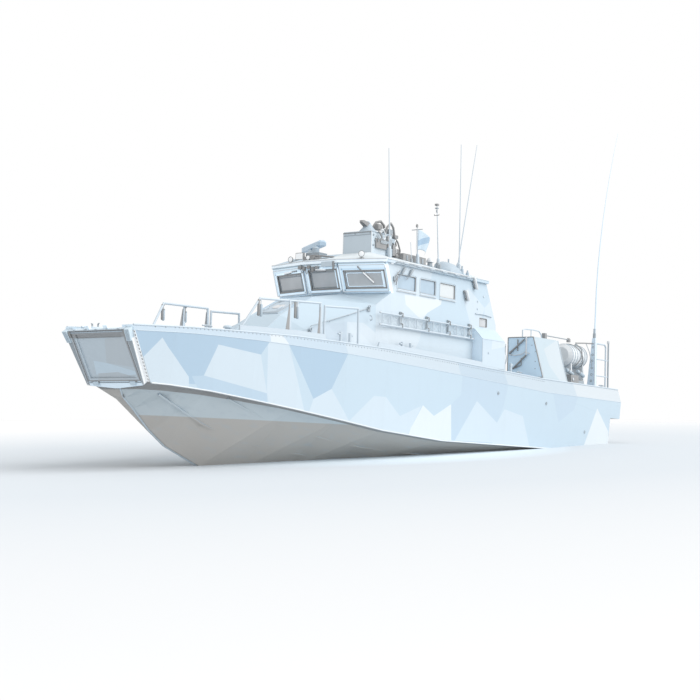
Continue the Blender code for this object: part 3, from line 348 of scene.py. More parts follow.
class Web:
    """One material and a short way to write its nodes."""

    def __init__(self, name, roughness=0.55, metallic=0.0):
        clear(name)
        self.mat = bpy.data.materials.new(name)
        self.mat.use_nodes = True
        self.nodes = self.mat.node_tree.nodes
        self.links = self.mat.node_tree.links
        self.shader = self.nodes["Principled BSDF"]
        self.set("Roughness", roughness)
        self.set("Metallic", metallic)

    def set(self, socket, value):
        """Gives a shader socket a fixed value or a link."""
        self.feed(self.shader.inputs[socket], value)

    def feed(self, socket, value):
        if isinstance(value, bpy.types.NodeSocket):
            self.links.new(value, socket)
        elif isinstance(value, tuple) and len(value) == 3 and socket.type == "RGBA":
            socket.default_value = (*value, 1.0)
        else:
            socket.default_value = value

    def node(self, kind, inputs=(), **settings):
        made = self.nodes.new(kind)
        for key, value in settings.items():
            setattr(made, key, value)
        for index, value in inputs:
            self.feed(made.inputs[index], value)
        return made

    def maths(self, operation, first, second=0.0):
        return self.node("ShaderNodeMath", ((0, first), (1, second)), operation=operation).outputs[0]

    def times(self, first, second):
        return self.maths("MULTIPLY", first, second)

    def over(self, value, limit):
        """1 where the value is over the limit, 0 elsewhere."""
        return self.maths("GREATER_THAN", value, limit)

    def under(self, value, limit):
        return self.maths("LESS_THAN", value, limit)

    def vector(self, operation, first, second, output=0):
        made = self.node("ShaderNodeVectorMath", ((0, first), (1, second)), operation=operation)
        return made.outputs[output]

    def combine(self, x, y, z):
        return self.node("ShaderNodeCombineXYZ", ((0, x), (1, y), (2, z))).outputs[0]

    def mix(self, share, first, second):
        made = self.node("ShaderNodeMix", data_type="RGBA")
        self.feed(made.inputs["Factor"], share)
        self.feed(made.inputs["A"], first)
        self.feed(made.inputs["B"], second)
        return made.outputs["Result"]

    def ramp(self, value, low, high):
        """0 below low, 1 above high, straight between."""
        return self.node("ShaderNodeMapRange", ((0, value), (1, low), (2, high))).outputs[0]

    def noise(self, scale, detail=3.0, stretch=(1, 1, 1)):
        """A cloud between 0 and 1, in the boat's own metres."""
        where = self.vector("MULTIPLY", self.place(), stretch)
        made = self.node("ShaderNodeTexNoise", ((0, where),))
        made.inputs["Scale"].default_value = scale
        made.inputs["Detail"].default_value = detail
        return made.outputs[0]

    def place(self):
        if not hasattr(self, "_place"):
            self._place = self.node("ShaderNodeTexCoord").outputs["Object"]
        return self._place

    def axes(self):
        if not hasattr(self, "_axes"):
            self._axes = self.node("ShaderNodeSeparateXYZ", ((0, self.place()),)).outputs
        return self._axes

    def normal(self):
        """The face's direction in the object's own axes."""
        if not hasattr(self, "_normal"):
            facing = self.node("ShaderNodeTexCoord").outputs["Normal"]
            self._normal = self.node("ShaderNodeSeparateXYZ", ((0, facing),)).outputs
        return self._normal

    def pattern_x(self, x, y, total):
        """The x of the pattern: x itself to port, the total less x to starboard."""
        to_port = self.over(y, 0.0)
        starboard = self.maths("SUBTRACT", 1.0, to_port)
        turned = self.times(starboard, self.maths("SUBTRACT", total, x))
        return self.maths("ADD", self.times(to_port, x), turned)

    def bump(self, height, strength, distance):
        made = self.node("ShaderNodeBump", ((0, strength), (1, distance)))
        self.feed(made.inputs["Height"], height)
        self.set("Normal", made.outputs[0])

    def splinters(self, base, across, up, rows):
        """Paints convex shapes over a base colour, in the plane of two coordinates."""
        point = self.combine(across, up, 1.0)
        colour = base
        for paint, corners in rows:
            middle = [sum(c[i] for c in corners) / len(corners) for i in (0, 1)]
            inside = None
            for (u1, v1), (u2, v2) in zip(corners, corners[1:] + corners[:1]):
                a, b = v1 - v2, u2 - u1
                size = math.hypot(a, b)
                c = -(a * u1 + b * v1)
                if a * middle[0] + b * middle[1] + c < 0:
                    a, b, c = -a, -b, -c
                depth = self.vector("DOT_PRODUCT", point, (a / size, b / size, c / size), 1)
                inside = depth if inside is None else self.maths("MINIMUM", inside, depth)
            colour = self.mix(self.over(inside, 0.0), colour, paint)
        return colour

    def weathered(self, colour, cloud=0.05, streaks=0.05):
        """Slow clouds of tone and faint runs down the sides."""
        clouds = self.times(self.ramp(self.noise(0.9), 0.35, 0.7), cloud)
        aged = self.mix(clouds, colour, SHADE)
        runs = self.times(self.ramp(self.noise(5.0, 4.0, (1, 1, 0.12)), 0.52, 0.8), streaks)
        return self.mix(runs, aged, DARK)

    def finish(self, colour, bump_scale=60.0, strength=0.12):
        self.set("Base Color", colour)
        self.bump(self.noise(bump_scale, 2.0), strength, 0.0015)
        return self.mat


def hull_material():
    web = Web("hull_camouflage", 0.5)
    x, y, z = web.axes()
    face_ahead, _, face_up = web.normal()
    side_x = web.pattern_x(x, y, HULL_TURN)
    side = web.splinters(MID, side_x, z, HULL_SPLINTERS)
    band = web.splinters(BAND, side_x, z, BAND_SPLINTERS)
    colour = web.mix(web.over(face_up, UP_BEVEL), side, band)
    colour = web.mix(web.over(face_up, UP_DECK), colour, DECK)
    bottom = web.mix(web.ramp(z, 0.035, 0.05), BOTTOM, BOTTOM_HIGH)
    # Painted shade: to starboard, away from the sun, the whole bottom takes the dark BOTTOM paint.
    bottom = web.mix(web.over(y, 0.0), BOTTOM, bottom)
    scuffs = web.times(web.ramp(web.noise(7.0, 6.0, (0.3, 1, 1)), 0.55, 0.75), 0.35)
    bottom = web.mix(scuffs, bottom, SHADE)
    # Painted shade: a black band under the chine in the fore half of the hull.
    bottom = web.splinters(bottom, x, z, UNDER_CHINE_SHADE)
    colour = web.mix(web.under(face_up, UP_BOTTOM), colour, bottom)
    # Painted shade: faces that look straight down, such as the chine flats, are black.
    colour = web.mix(web.under(face_up, UP_FLAT_SHADE), colour, BLACK)
    # Painted light: the hull's faces that look ahead, above BOW_FACE_FROM, take a pale paint that takes out
    # the shade on them.
    ahead = web.over(face_ahead, 0.8)
    colour = web.mix(web.times(ahead, web.over(z, BOW_FACE_FROM)), colour, BOW_FACE)
    return web.finish(web.weathered(colour))


def house_material():
    web = Web("house_camouflage", 0.55)
    x, y, z = web.axes()
    face_ahead, _, face_up = web.normal()
    side_x = web.pattern_x(x, y, HOUSE_TURN)
    side = web.splinters(MID, side_x, z, HOUSE_SPLINTERS)
    # Painted bounce light: forward of the aft boxes, the sides grow paler towards the deck below z 2.75.
    low = web.times(web.ramp(z, 2.75, 2.15), 0.25)
    side = web.mix(web.times(low, web.over(x, AFT_BOXES_FROM)), side, WHITE)
    top = web.mix(web.over(z, ROOF_FROM), web.splinters(MID, x, y, TRUNK_SPLINTERS),
                  web.splinters(MID, x, y, ROOF_SPLINTERS))
    colour = web.mix(web.over(face_up, 0.3), side, top)
    # Faces that look ahead get plain paints in place of the pattern. They are lighter on faces aft of
    # midships, such as the lockers' fronts, and on the roof's front edge: painted light that takes out the
    # shade there.
    ahead = web.mix(web.over(x, 0.0), LOCKER_FRONT, HOUSE_FRONT)
    ahead = web.mix(web.over(z, ROOF_FRONT_FROM), ahead, ROOF_FRONT)
    colour = web.mix(web.over(face_ahead, 0.9), colour, ahead)
    return web.finish(web.weathered(colour))


def painted(name, paint, roughness=0.55, metallic=0.0, bump_scale=70.0, strength=0.12):
    web = Web(name, roughness, metallic)
    return web.finish(web.weathered(paint, 0.06, 0.06), bump_scale, strength)


def ramp_material():
    web = Web("ramp_camouflage", 0.5)
    _, y, z = web.axes()
    return web.finish(web.weathered(web.splinters(RAMP_LEFT, y, z, RAMP_SPLINTERS)))


def deck_material():
    """Non-slip paint: fine grit over pale grey."""
    web = Web("deck_grit", 0.85)
    grit = web.noise(260.0, 2.0)
    colour = web.mix(web.ramp(grit, 0.45, 0.7), DECK, SHADE)
    web.set("Base Color", web.mix(0.55, web.weathered(DECK, 0.12, 0.05), colour))
    web.bump(grit, 0.6, 0.002)
    return web.mat


def glass_material(name, colour, alpha, aft_sky_light=None):
    """Tinted glass with faint darker patches, painted light and shade of what lies behind it; it may grow
    paler towards the stern, as painted sky light.
    """
    web = Web(name, 0.06)
    # Painted light and shade: faint darker patches in the tint.
    painted_glass_light = web.ramp(web.noise(1.6, 3.0), 0.40, 0.60)
    tint = web.mix(painted_glass_light, colour, tuple(c * 0.88 for c in colour))
    if aft_sky_light:
        # Painted sky light: the panes grow paler towards the stern.
        tint = web.mix(web.ramp(web.axes()[0], 0.0, -0.25), tint, aft_sky_light)
    web.set("Base Color", tint)
    web.shader.inputs["Coat Weight"].default_value = 0.5
    web.shader.inputs["Coat Roughness"].default_value = 0.04
    web.shader.inputs["Alpha"].default_value = alpha
    return web.mat


def lamp_material():
    """Lamp glass in front of a bright reflector; its glow is also painted light on the white edge strips of
    the bow and on the wiper blades, which are no lamps.
    """
    web = Web("lamp_glass_and_painted_glow", 0.15)
    web.set("Base Color", WHITE)
    web.shader.inputs["Emission Color"].default_value = (1.0, 1.0, 1.0, 1.0)
    web.shader.inputs["Emission Strength"].default_value = 0.25
    return web.mat


def rope_material():
    web = Web("rope_lay", 0.9)
    wave = web.node("ShaderNodeTexWave", ((0, web.place()),), bands_direction="DIAGONAL")
    wave.inputs["Scale"].default_value = 60.0
    web.set("Base Color", web.mix(wave.outputs[1], ROPE, STEEL))
    web.bump(wave.outputs[1], 0.8, 0.003)
    return web.mat


def flag_material():
    """Plain cloth: a pale field with a broad blue band that follows its waves."""
    web = Web("flag_cloth", 0.9)
    x, _, z = web.axes()
    slant = web.maths("ADD", z, web.times(x, 0.35))
    band = web.under(web.maths("ABSOLUTE", web.maths("SUBTRACT", slant, 4.78)), 0.075)
    web.set("Base Color", web.mix(band, tone(214, 232, 245), tone(176, 203, 226)))
    web.bump(web.noise(400.0, 2.0), 0.2, 0.0015)
    return web.mat


M = {
    "hull": hull_material(),
    "house": house_material(),
    "deck": deck_material(),
    "grey": painted("grey_paint_finish", SHADE),
    "frame": painted("window_frame_paint", FRAME, 0.5),
    "frame_light": painted("window_frame_bands", FRAME_LIGHT, 0.5),
    "frame_sunlit": painted("window_frame_sunlit", FRAME_SUNLIT, 0.5),
    "ramp": ramp_material(),
    "rail": painted("rail_paint_finish", RAIL, 0.45),
    "dark": painted("dark_paint_finish", DARK, 0.6),
    "black": painted("black_fitting", BLACK, 0.6),
    "rubber": painted("rubber_finish", RUBBER, 0.85, bump_scale=140.0, strength=0.3),
    "white": painted("white_plastic_finish", WHITE, 0.35),
    "pale": painted("pale_paint", PALE),
    "steel": painted("bare_steel", STEEL, 0.35, 0.6, 200.0, 0.1),
    "glass_front": glass_material("front_glass_tint", GLASS_FRONT, 0.95),
    "glass_side": glass_material("side_glass_tint", GLASS_SIDE, 0.9, GLASS_SKY_LIGHT),
    "glass_lamp": glass_material("lamp_glass", WHITE, 1.0),
    "lamp": lamp_material(),
    "aft_face": painted("aft_face_paint", AFT_FACE),
    "post": painted("post_paint", POST),
    "pedestal": painted("pedestal_paint", PEDESTAL, 0.6),
    "scanner": painted("scanner_cover", SCANNER, 0.4),
    "sill": painted("sill_paint", SILL_PAINT),
    "pad": painted("pad_cover", PAD, 0.7),
    "strap": painted("strap_webbing", STRAP, 0.9),
    "rope": rope_material(),
    "flag": flag_material(),
    "seat": painted("seat_cover", DARK, 0.8, bump_scale=300.0, strength=0.3),
}

# Finishes of the CAD nodes, by the start of the node's name.
NODE_LOOK = (
    ("hull", "hull"), ("trunk_hatch", "deck"), ("trunk", "house"), ("wheelhouse_front", "frame"),
    ("wheelhouse", "house"), ("locker", "house"), ("aft_box", "house"), ("bow_frame", "rubber"),
    ("bow_ramp", "ramp"), ("forward_door", "grey"), ("aft_door", "grey"), ("front_glass", "glass_front"),
    ("side_glass", "glass_side"), ("small_glass", "glass_front"), ("roof_tub", "pale"),
    ("sensor_post", "dark"), ("sensor_head", "grey"), ("radar_pedestal", "pedestal"),
    ("radar_scanner", "scanner"), ("roof_box", "black"), ("whip", "rail"), ("signal_mast", "rail"),
    ("aerial_pole", "rail"), ("bow_rail", "rail"), ("side_rail", "rail"), ("toe_rail", "rail"),
    ("aft_bitts", "rail"), ("stowed_ladder", "rail"), ("engine_hatch", "deck"), ("engine", "dark"),
    ("raft", "white"), ("stern_post", "post"), ("stern_rail", "rail"), ("jet_nozzle", "steel"),
    ("jet", "dark"),
)


def dress_nodes():
    for name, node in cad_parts.items():
        look = next(look for start, look in NODE_LOOK if name.startswith(start))
        node.data.materials.clear()
        node.data.materials.append(M[look])


def table_value(table, x, column):
    if x >= table[-1][0]:
        return table[-1][column]
    for low, high in zip(table, table[1:]):
        if x <= high[0]:
            share = max(0.0, (x - low[0]) / (high[0] - low[0]))
            return low[column] + share * (high[column] - low[column])
    return table[-1][column]


def deck_y(x):
    return table_value(STATIONS, x, 6)


def deck_z(x):
    return table_value(STATIONS, x, 7)


def circle(x, y, z, radius, count, plane="yz"):
    """Points on an upright circle, across the boat or, in the plane xz, along it."""
    turns = [2 * math.pi * k / count for k in range(count)]
    if plane == "xz":
        return [(x + radius * math.cos(a), y, z + radius * math.sin(a)) for a in turns]
    return [(x, y + radius * math.cos(a), z + radius * math.sin(a)) for a in turns]


def upright(x, near, far, low, high):
    """Corners of a rectangle that stands across the boat."""
    return [(x, near, low), (x, far, low), (x, far, high), (x, near, high)]


class Form:
    """Collects shapes in one mesh, each in its own finish."""

    def __init__(self, name, look="rail"):
        self.name = name
        self.looks = []
        self.main = look
        self.work = bmesh.new()

    def _slot(self, look):
        look = look or self.main
        if look not in self.looks:
            self.looks.append(look)
        return self.looks.index(look)

    def skin(self, rings, look=None, smooth=False, loop=False):
        """A closed skin through rings of equally many points."""
        slot = self._slot(look)
        rows = [[self.work.verts.new(p) for p in ring] for ring in rings]
        faces = []
        pairs = list(zip(rows, rows[1:])) + ([(rows[-1], rows[0])] if loop else [])
        for first, second in pairs:
            for i in range(len(first)):
                j = (i + 1) % len(first)
                faces.append(self.work.faces.new((first[i], first[j], second[j], second[i])))
        if not loop:
            faces.append(self.work.faces.new(rows[0]))
            faces.append(self.work.faces.new(rows[-1]))
        for face in faces:
            face.material_index = slot
            face.smooth = smooth
        return self

    def block(self, low, high, look=None):
        return self.skin([upright(x, low[1], high[1], low[2], high[2]) for x in (low[0], high[0])], look)

    def slab(self, corners, thick, look=None):
        """A plate on a flat outline, thick along its own normal."""
        corners = [Vector(c) for c in corners]
        normal = (corners[1] - corners[0]).cross(corners[2] - corners[1]).normalized()
        return self.skin([[c + normal * t for c in corners] for t in (0.0, thick)], look)

    def bar(self, start, end, wide, tall, look=None, side=(0, 0, 1)):
        """A straight bar of rectangular section; side is the direction of its height."""
        start, end = Vector(start), Vector(end)
        along = (end - start).normalized()
        across = along.cross(Vector(side)).normalized()
        up = across.cross(along)
        section = ((-0.5, -0.5), (0.5, -0.5), (0.5, 0.5), (-0.5, 0.5))
        rings = [[p + across * wide * a + up * tall * b for a, b in section] for p in (start, end)]
        return self.skin(rings, look)

    def tube(self, points, radius, look=None, sides=8, loop=False):
        points = [Vector(p) for p in points]
        rings = []
        count = len(points)
        up = Vector((0, 0, 1))
        for i, p in enumerate(points):
            before = points[i - 1] if i or loop else p
            after = points[(i + 1) % count] if i < count - 1 or loop else p
            run = (after - before).normalized()
            if abs(run.dot(up)) > 0.95:
                up = Vector((1, 0, 0)) if abs(run.x) < 0.9 else Vector((0, 1, 0))
            first = run.cross(up).normalized()
            up = first.cross(run).normalized()
            rings.append([p + radius * (first * math.cos(a) + up * math.sin(a))
                          for a in (2 * math.pi * k / sides for k in range(sides))])
        return self.skin(rings, look, True, loop)

    def handle(self, start, end, lift, radius, look=None):
        """A rod with two feet, lifted off its surface between them."""
        start, end, lift = Vector(start), Vector(end), Vector(lift)
        return self.tube([start, start + lift, end + lift, end], radius, look)

    def turned(self, base, along, stages, look=None, sides=16):
        """A round body from its base along a direction. Stages: distance, radius."""
        base, along = Vector(base), Vector(along).normalized()
        helper = Vector((0, 0, 1)) if abs(along.z) < 0.9 else Vector((1, 0, 0))
        first = along.cross(helper).normalized()
        second = along.cross(first)
        rings = [[base + along * d + r * (first * math.cos(a) + second * math.sin(a))
                  for a in (2 * math.pi * k / sides for k in range(sides))] for d, r in stages]
        return self.skin(rings, look, True)

    def dome(self, base, along, radius, height, look=None):
        stages = [(height * math.sin(t), max(0.001, radius * math.cos(t)))
                  for t in (math.pi / 2 * k / 5 for k in range(6))]
        return self.turned(base, along, stages, look)

    def done(self, body="boat", bevel=0.0, segments=2):
        """Makes the object, rounds its edges and lets it ride on a body."""
        bmesh.ops.recalc_face_normals(self.work, faces=self.work.faces)
        mesh = bpy.data.meshes.new(self.name)
        self.work.to_mesh(mesh)
        self.work.free()
        mesh.set_sharp_from_angle(angle=math.radians(35))
        for look in self.looks:
            mesh.materials.append(M[look])
        obj = bpy.data.objects.new(self.name, mesh)
        bpy.context.scene.collection.objects.link(obj)
        if bevel:
            change = obj.modifiers.new("edges", "BEVEL")
            change.width = bevel
            change.segments = segments
            change.limit_method = "ANGLE"
            change.angle_limit = math.radians(40)
        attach(obj, body)
        return obj


def rounded(corners, radius, steps=3):
    """A closed path round a flat outline, each corner turned on a curve."""
    corners = [Vector(c) for c in corners]
    path = []
    for before, here, after in zip(corners[-1:] + corners[:-1], corners, corners[1:] + corners[:1]):
        start = here + (before - here).normalized() * radius
        end = here + (after - here).normalized() * radius
        for k in range(steps + 1):
            t = k / steps
            path.append(start * (1 - t) ** 2 + here * 2 * t * (1 - t) + end * t ** 2)
    return path


def spread(low, high, count):
    return [low + (high - low) * i / (count - 1) for i in range(count)]


def corner(s, name):
    """Distance off the centreline and height of one of the hull's lines at a station."""
    keel_z, chine_y, chine_z, *upper = (table_value(STATIONS, s, column) for column in range(1, 8))
    return {"keel": (KEEL_HALF, keel_z), "inner": (chine_y - CHINE_FLAT, chine_z - CHINE_DROP),
            "chine": (chine_y, chine_z), "knuckle": upper[:2], "deck": upper[2:]}[name]


def hull_point(s, first, second, share, side, proud=0.0):
    """A point on the hull between two of its lines. The last stations lean with the bow."""
    (y1, z1), (y2, z2) = corner(s, first), corner(s, second)
    size = math.hypot(y2 - y1, z2 - z1)
    y = y1 + (y2 - y1) * share + (z2 - z1) / size * proud
    z = z1 + (z2 - z1) * share - (y2 - y1) / size * proud
    lean = max(0.0, (s - STATIONS[-2][0]) / (SILL[0] - STATIONS[-2][0]))
    return Vector((s + lean * (z - SILL[1]) * BOW_LEAN, side * y, z))


def along_hull(first, second, share, low, high, side):
    stops = sorted({low, high} | {row[0] for row in STATIONS if low < row[0] < high})
    return [hull_point(s, first, second, share, side) for s in stops]


def bow_point(up, out, y=0.0):
    """A point by its distance up the leaning bow plane and out from it."""
    size = math.hypot(1.0, BOW_LEAN)
    rise = Vector((BOW_LEAN / size, 0, 1 / size))
    forward = Vector((1 / size, 0, -BOW_LEAN / size))
    return Vector((SILL[0], y, SILL[1])) + rise * up + forward * out


def bow_box(form, up, out, y, look=None):
    corners = ((up[0], out[0]), (up[1], out[0]), (up[1], out[1]), (up[0], out[1]))
    form.skin([[bow_point(u, o, at) for u, o in corners] for at in y], look)


def bow_strip(form, side, out, stages, look=None):
    """A strip that climbs the bow. Stages: distance up the bow plane, inner and outer half width."""
    low, high = out
    form.skin([[bow_point(up, o, side * y) for y, o in ((near, low), (far, low), (far, high), (near, high))]
               for up, near, far in stages], look)


def to_side(path, side):
    """A path given to port, on one side of the boat."""
    return [(x, side * y, z) for x, y, z in path]


def between(form, x, first, second, z, look=None):
    """A block between two values of y in either order; x and z are pairs."""
    near, far = sorted((first, second))
    form.block((x[0], near, z[0]), (x[1], far, z[1]), look)


def front_x(y, z):
    """The wheelhouse front at a height and a distance off the centreline."""
    swept = max(0.0, abs(y) - FACET_Y) / (HOUSE_HALF - FACET_Y)
    return FRONT_X[0] + (FRONT_X[1] - FRONT_X[0]) * swept + (z - SILL_LINE) * FRONT_RAKE


def roof_z(y):
    """Height of the roof's upper face, aft of its front slope."""
    return ROOF_TOP - max(0.0, abs(y) - ROOF_SHOULDER) / (ROOF_HALF - ROOF_SHOULDER) * (ROOF_TOP - ROOF_EAVE)


def make_hull_trim():
    stud = ((-0.01, 0.015), (0.004, 0.015), (0.009, 0.009))
    outlet = ((-0.01, 0.045), (0.012, 0.045), (0.012, 0.028), (0.002, 0.026))
    for name, side in SIDES:
        form = Form("hull_trim_" + name, "rail")
        form.tube(along_hull("knuckle", "deck", 1.0, TRIM_AFT, TRIM_FORE, side), 0.020)
        # A rail along the chine, white as a painted highlight on that edge.
        form.tube(along_hull("chine", "knuckle", 0.0, -9.2, TRIM_FORE, side), 0.015, "white")
        form.tube(along_hull("knuckle", "deck", 0.0, TRIM_AFT, TRIM_FORE, side), 0.007, "pale", 6)
        form.done()
        studs = Form("edge_fastenings_" + name, "dark")
        for s in spread(-5.0, 9.0, 134):
            studs.turned(hull_point(s, "knuckle", "deck", 0.80, side), (0, side, 0.3), stud, sides=6)
        studs.done()
        rails = Form("spray_rails_" + name, "hull")
        for y_at, low, high in SPRAY_RAILS:
            path = []
            for s in spread(low, high, 12):
                (keel_y, _), (inner_y, _) = corner(s, "keel"), corner(s, "inner")
                path.append(hull_point(s, "keel", "inner", (y_at - keel_y) / (inner_y - keel_y), side, 0.005))
            rails.tube(path, 0.028, sides=4)
        rails.done()
        outlets = Form("overboard_outlets_" + name, "dark")
        for s, share in OUTLETS:
            outlets.turned(hull_point(s, "chine", "knuckle", share, side), (0, side, 0), outlet)
        outlets.done()


def make_stem():
    form = Form("stem_bar", "pale")
    stops = (8.8, 8.3, 7.8, 6.75, 5.5, 4.0, 0.0, -5.0, -9.2)
    keel = [(s, 0, corner(s, "keel")[1] - 0.004) for s in stops]
    form.tube([(9.23, 0, 0.655), (9.085, 0, 0.395)] + keel, 0.022, sides=6)
    form.tube(circle(9.10, 0.035, 0.42, 0.03, 12, "xz"), 0.010, "black", loop=True)
    for s in (-8.4, -6.0, -3.5):
        foot = corner(s, "keel")[1] + 0.12
        for y in (0.30, -0.30):
            form.block((s - 0.16, y - 0.04, foot - 0.04), (s + 0.16, y + 0.04, foot + 0.02), "steel")
    form.done(bevel=0.004)


def frame_half(up):
    """Half width of the bow frame, which is narrower at its foot."""
    return 0.803 + 0.10 * up


def bow_edge(up):
    """Half width of the hull's own front edge beside the frame."""
    return 0.90 + 0.077 * up


def make_bow_frame():
    """The dark rubber frame round the ramp, and the white edge of the hull beside it, which glows a little as
    painted light.
    """
    form = Form("bow_fender", "rubber")
    inner, face = 0.762, 0.098
    for name, side in SIDES:
        bow_strip(form, side, (-0.015, face), [(up, inner, frame_half(up)) for up in (0.0, 1.20)])
        bow_strip(form, side, (face - 0.002, face + 0.008),
                  [(up, inner + 0.022, frame_half(up) - 0.006) for up in (0.03, 1.00)], "dark")
        # The white edge strip takes the glowing lamp look: painted light on a strip that is no lamp.
        edge = Form("bow_edge_" + name, "lamp")
        bow_strip(edge, side, (0.0, face - 0.006),
                  [(up, frame_half(up) - 0.004, frame_half(up) + 0.006) for up in (0.02, 1.20)])
        bow_strip(edge, side, (-0.015, 0.012),
                  [(up, frame_half(up), bow_edge(up) - 0.012) for up in (0.03, 1.17)])
        for up in spread(0.06, 1.12, 15):
            studs = [side * (bow_edge(up) - inset) for inset in (0.040, 0.018)]
            bow_box(edge, (up, up + 0.042), (0.008, 0.018), studs, "black")
        edge.done(bevel=0.003)
    bow_box(form, (1.205, 1.225), (-0.015, 0.090), (-0.90, 0.90), "dark")
    bow_box(form, (-0.015, 0.045), (-0.010, 0.085), (-inner, inner), "black")
    form.done(bevel=0.006)
    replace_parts(bpy.data.objects["bow_fender"], "bow_frame")


def make_bow_trim():
    """Corner pads, the bars over the ramp, the plate under it and the bitts behind it."""
    for name, side in SIDES:
        pad = Form("bow_pad_" + name, "pad")
        bow_strip(pad, side, (0.0, 0.135),
                  ((0.99, 0.785, 0.905), (1.19, 0.805, 0.940), (1.245, 0.815, 0.945)))
        for share in (0.25, 0.50, 0.75):
            seam = [bow_point(up, 0.137, side * (near + (far - near) * share))
                    for up, near, far in ((1.0, 0.785, 0.905), (1.23, 0.812, 0.943))]
            pad.tube(seam, 0.006, "grey", 6)
        bow_strip(pad, side, (0.03, 0.12), ((1.09, 0.745, 0.80), (1.215, 0.745, 0.80)), "black")
        pad.done(bevel=0.012, segments=3)
    bar = Form("bow_top_bar", "pale")
    bow_box(bar, (1.228, 1.246), (0.03, 0.095), (-0.80, 0.80))
    bow_box(bar, (1.180, 1.203), (RAMP_OUT + 0.002, 0.104), (-0.755, 0.755), "grey")
    for y in spread(-0.62, 0.62, 5):
        bow_box(bar, (1.240, 1.256), (0.07, 0.100), (y - 0.03, y + 0.03), "steel")
    bar.done(bevel=0.004)
    sill = Form("bow_sill_plate", "sill")
    outline = ((0.045, -0.745), (0.045, 0.745), (-0.015, 0.765),
               (-0.078, 0.05), (-0.078, -0.05), (-0.015, -0.73))
    sill.slab([bow_point(up, 0.088, y) for up, y in outline], 0.012)
    sill.done(bevel=0.003)
    bitts = Form("foredeck_bitts", "dark")
    stages = ((0, 0.04), (0.02, 0.036), (0.022, 0.018), (0.12, 0.018), (0.13, 0.012))
    for x, way in ((9.05, -1), (8.92, 1)):
        foot = deck_z(x)
        bitts.turned((x, -1.0 + 0.02 * way, foot - 0.005), UP, stages)
        horn = (x + 0.02 * way, -1.0 + way * 0.07, foot + 0.125)
        bitts.tube([(x - 0.015 * way, -1.0, foot + 0.11), horn], 0.014)
    foot = deck_z(9.0)
    bitts.block((8.86, -1.06, foot - 0.01), (9.11, -0.94, foot + 0.012))
    bitts.done(bevel=0.003)


def make_ramp_trim():
    form = Form("ramp_trim", "black")
    corners = [bow_point(up, RAMP_OUT - 0.004, y) for up, y in
               ((0.16, -0.695), (0.16, 0.695), (1.06, 0.695), (1.06, -0.695))]
    form.tube(rounded(corners, 0.03), 0.006, "dark", 6, loop=True)
    form.tube([bow_point(up, RAMP_OUT + 0.003, -0.70) for up in (0.12, 1.08)], 0.007, "grey", 6)
    for side in (1, -1):
        form.tube([bow_point(0.075, 0.095, side * y) for y in (0.42, 0.64)], 0.013)
    form.done("ramp", bevel=0.002)
    tread = Form("ramp_treads", "deck")
    bow_box(tread, (0.10, 1.20), (-0.006, 0.004), (-0.62, 0.62))
    for up in spread(0.14, 1.16, 14):
        bow_box(tread, (up, up + 0.022), (-0.022, -0.004), (-0.58, 0.58), "rail")
    tread.done("ramp", bevel=0.002)


def make_front_panes():
    """Front panes nearly flush with their frames, each with a black gasket, a bead and light bands."""
    for place, bezel in zip(("stbd", "centre", "port"), FRONT_BEZELS):
        def ring(inset, lift):
            near, far, low, high = (edge + inset * inward for edge, inward in zip(bezel, (1, -1, 1, -1)))
            return [Vector((front_x(y, z) + lift, y, z)) for _, y, z in upright(0, near, far, low, high)]

        pane = Form("front_pane_" + place, "glass_front")
        outline = rounded(ring(0.012, 0.0), 0.06)
        pane.skin([[p + Vector((lift, 0, 0)) for p in outline] for lift in (0.030, 0.044)])
        obj = pane.done()
        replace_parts(obj, "front_glass_" + place)
        seal = Form("front_window_seal_" + place, "black")
        # Lit and shaded copies of the frame paints: the port window faces the sun and gets the sunlit band
        # paint and a light bead; the shaded windows get the other band paint and a dark bead, painted shade.
        band, bead = ("frame_sunlit", "frame_light") if place == "port" else ("frame_light", "dark")
        for inset, lift, thick, look in ((0.004, 0.074, 0.036, "black"), (-0.040, 0.068, 0.040, band)):
            corners = ring(inset, lift)
            middle = sum(corners, Vector()) / 4
            for first, second in zip(corners, corners[1:] + corners[:1]):
                inward = (middle - (first + second) / 2).normalized()
                across = (second - first).normalized() * thick * 0.5
                seal.bar(first - across, second + across, 0.014, thick, look, side=inward)
        seal.tube(rounded(ring(0.050, 0.052), 0.04), 0.010, bead, 6, loop=True)
        seal.done(bevel=0.002)


def make_window_seals():
    """Painted highlights round the front frames' edges, and the seals and sills of the side windows."""
    # White tubes round the front frames: painted highlights on their edges.
    edges = Form("front_frame_highlights", "white")
    for near, far in FRONT_WINDOWS:
        corners = [(front_x(y, z) + 0.068, y, z) for _, y, z in upright(0, near, far, 3.275, 3.885)]
        edges.tube(rounded(corners, 0.02), 0.012, loop=True, sides=6)
    edges.done()
    sides = Form("side_window_seals", "black")
    sills = Form("side_window_sills", "white")
    low, high = 3.37, 3.73
    for _, side in SIDES:
        for aft, fore in SIDE_GLASS_X:
            outline = ((aft, low), (fore, low), (fore, high), (aft, high))
            sides.tube(rounded([(x, side * 1.685, z) for x, z in outline], 0.05), 0.014, loop=True)
            outer = [(x + 0.03 * (1 if x == fore else -1), side * 1.702, z + 0.03 * (1 if z == high else -1))
                     for x, z in outline]
            sills.tube(rounded(outer, 0.07), 0.009, "pale", 6, loop=True)
            sills.bar((aft - 0.02, side * 1.712, 3.318), (fore + 0.03, side * 1.712, 3.318), 0.035, 0.014)
        outline = ((-2.50, 2.80), (-2.11, 2.80), (-2.11, 3.03), (-2.50, 3.03))
        sides.tube(rounded([(x, side * 1.688, z) for x, z in outline], 0.03), 0.014, loop=True)
        brow = ((-1.89, 1.715, 3.115), (-2.30, 1.72, 3.13), (-2.71, 1.715, 3.10))
        sills.tube(to_side(brow, side), 0.014, "rail")
    sides.done()
    sills.done(bevel=0.004)


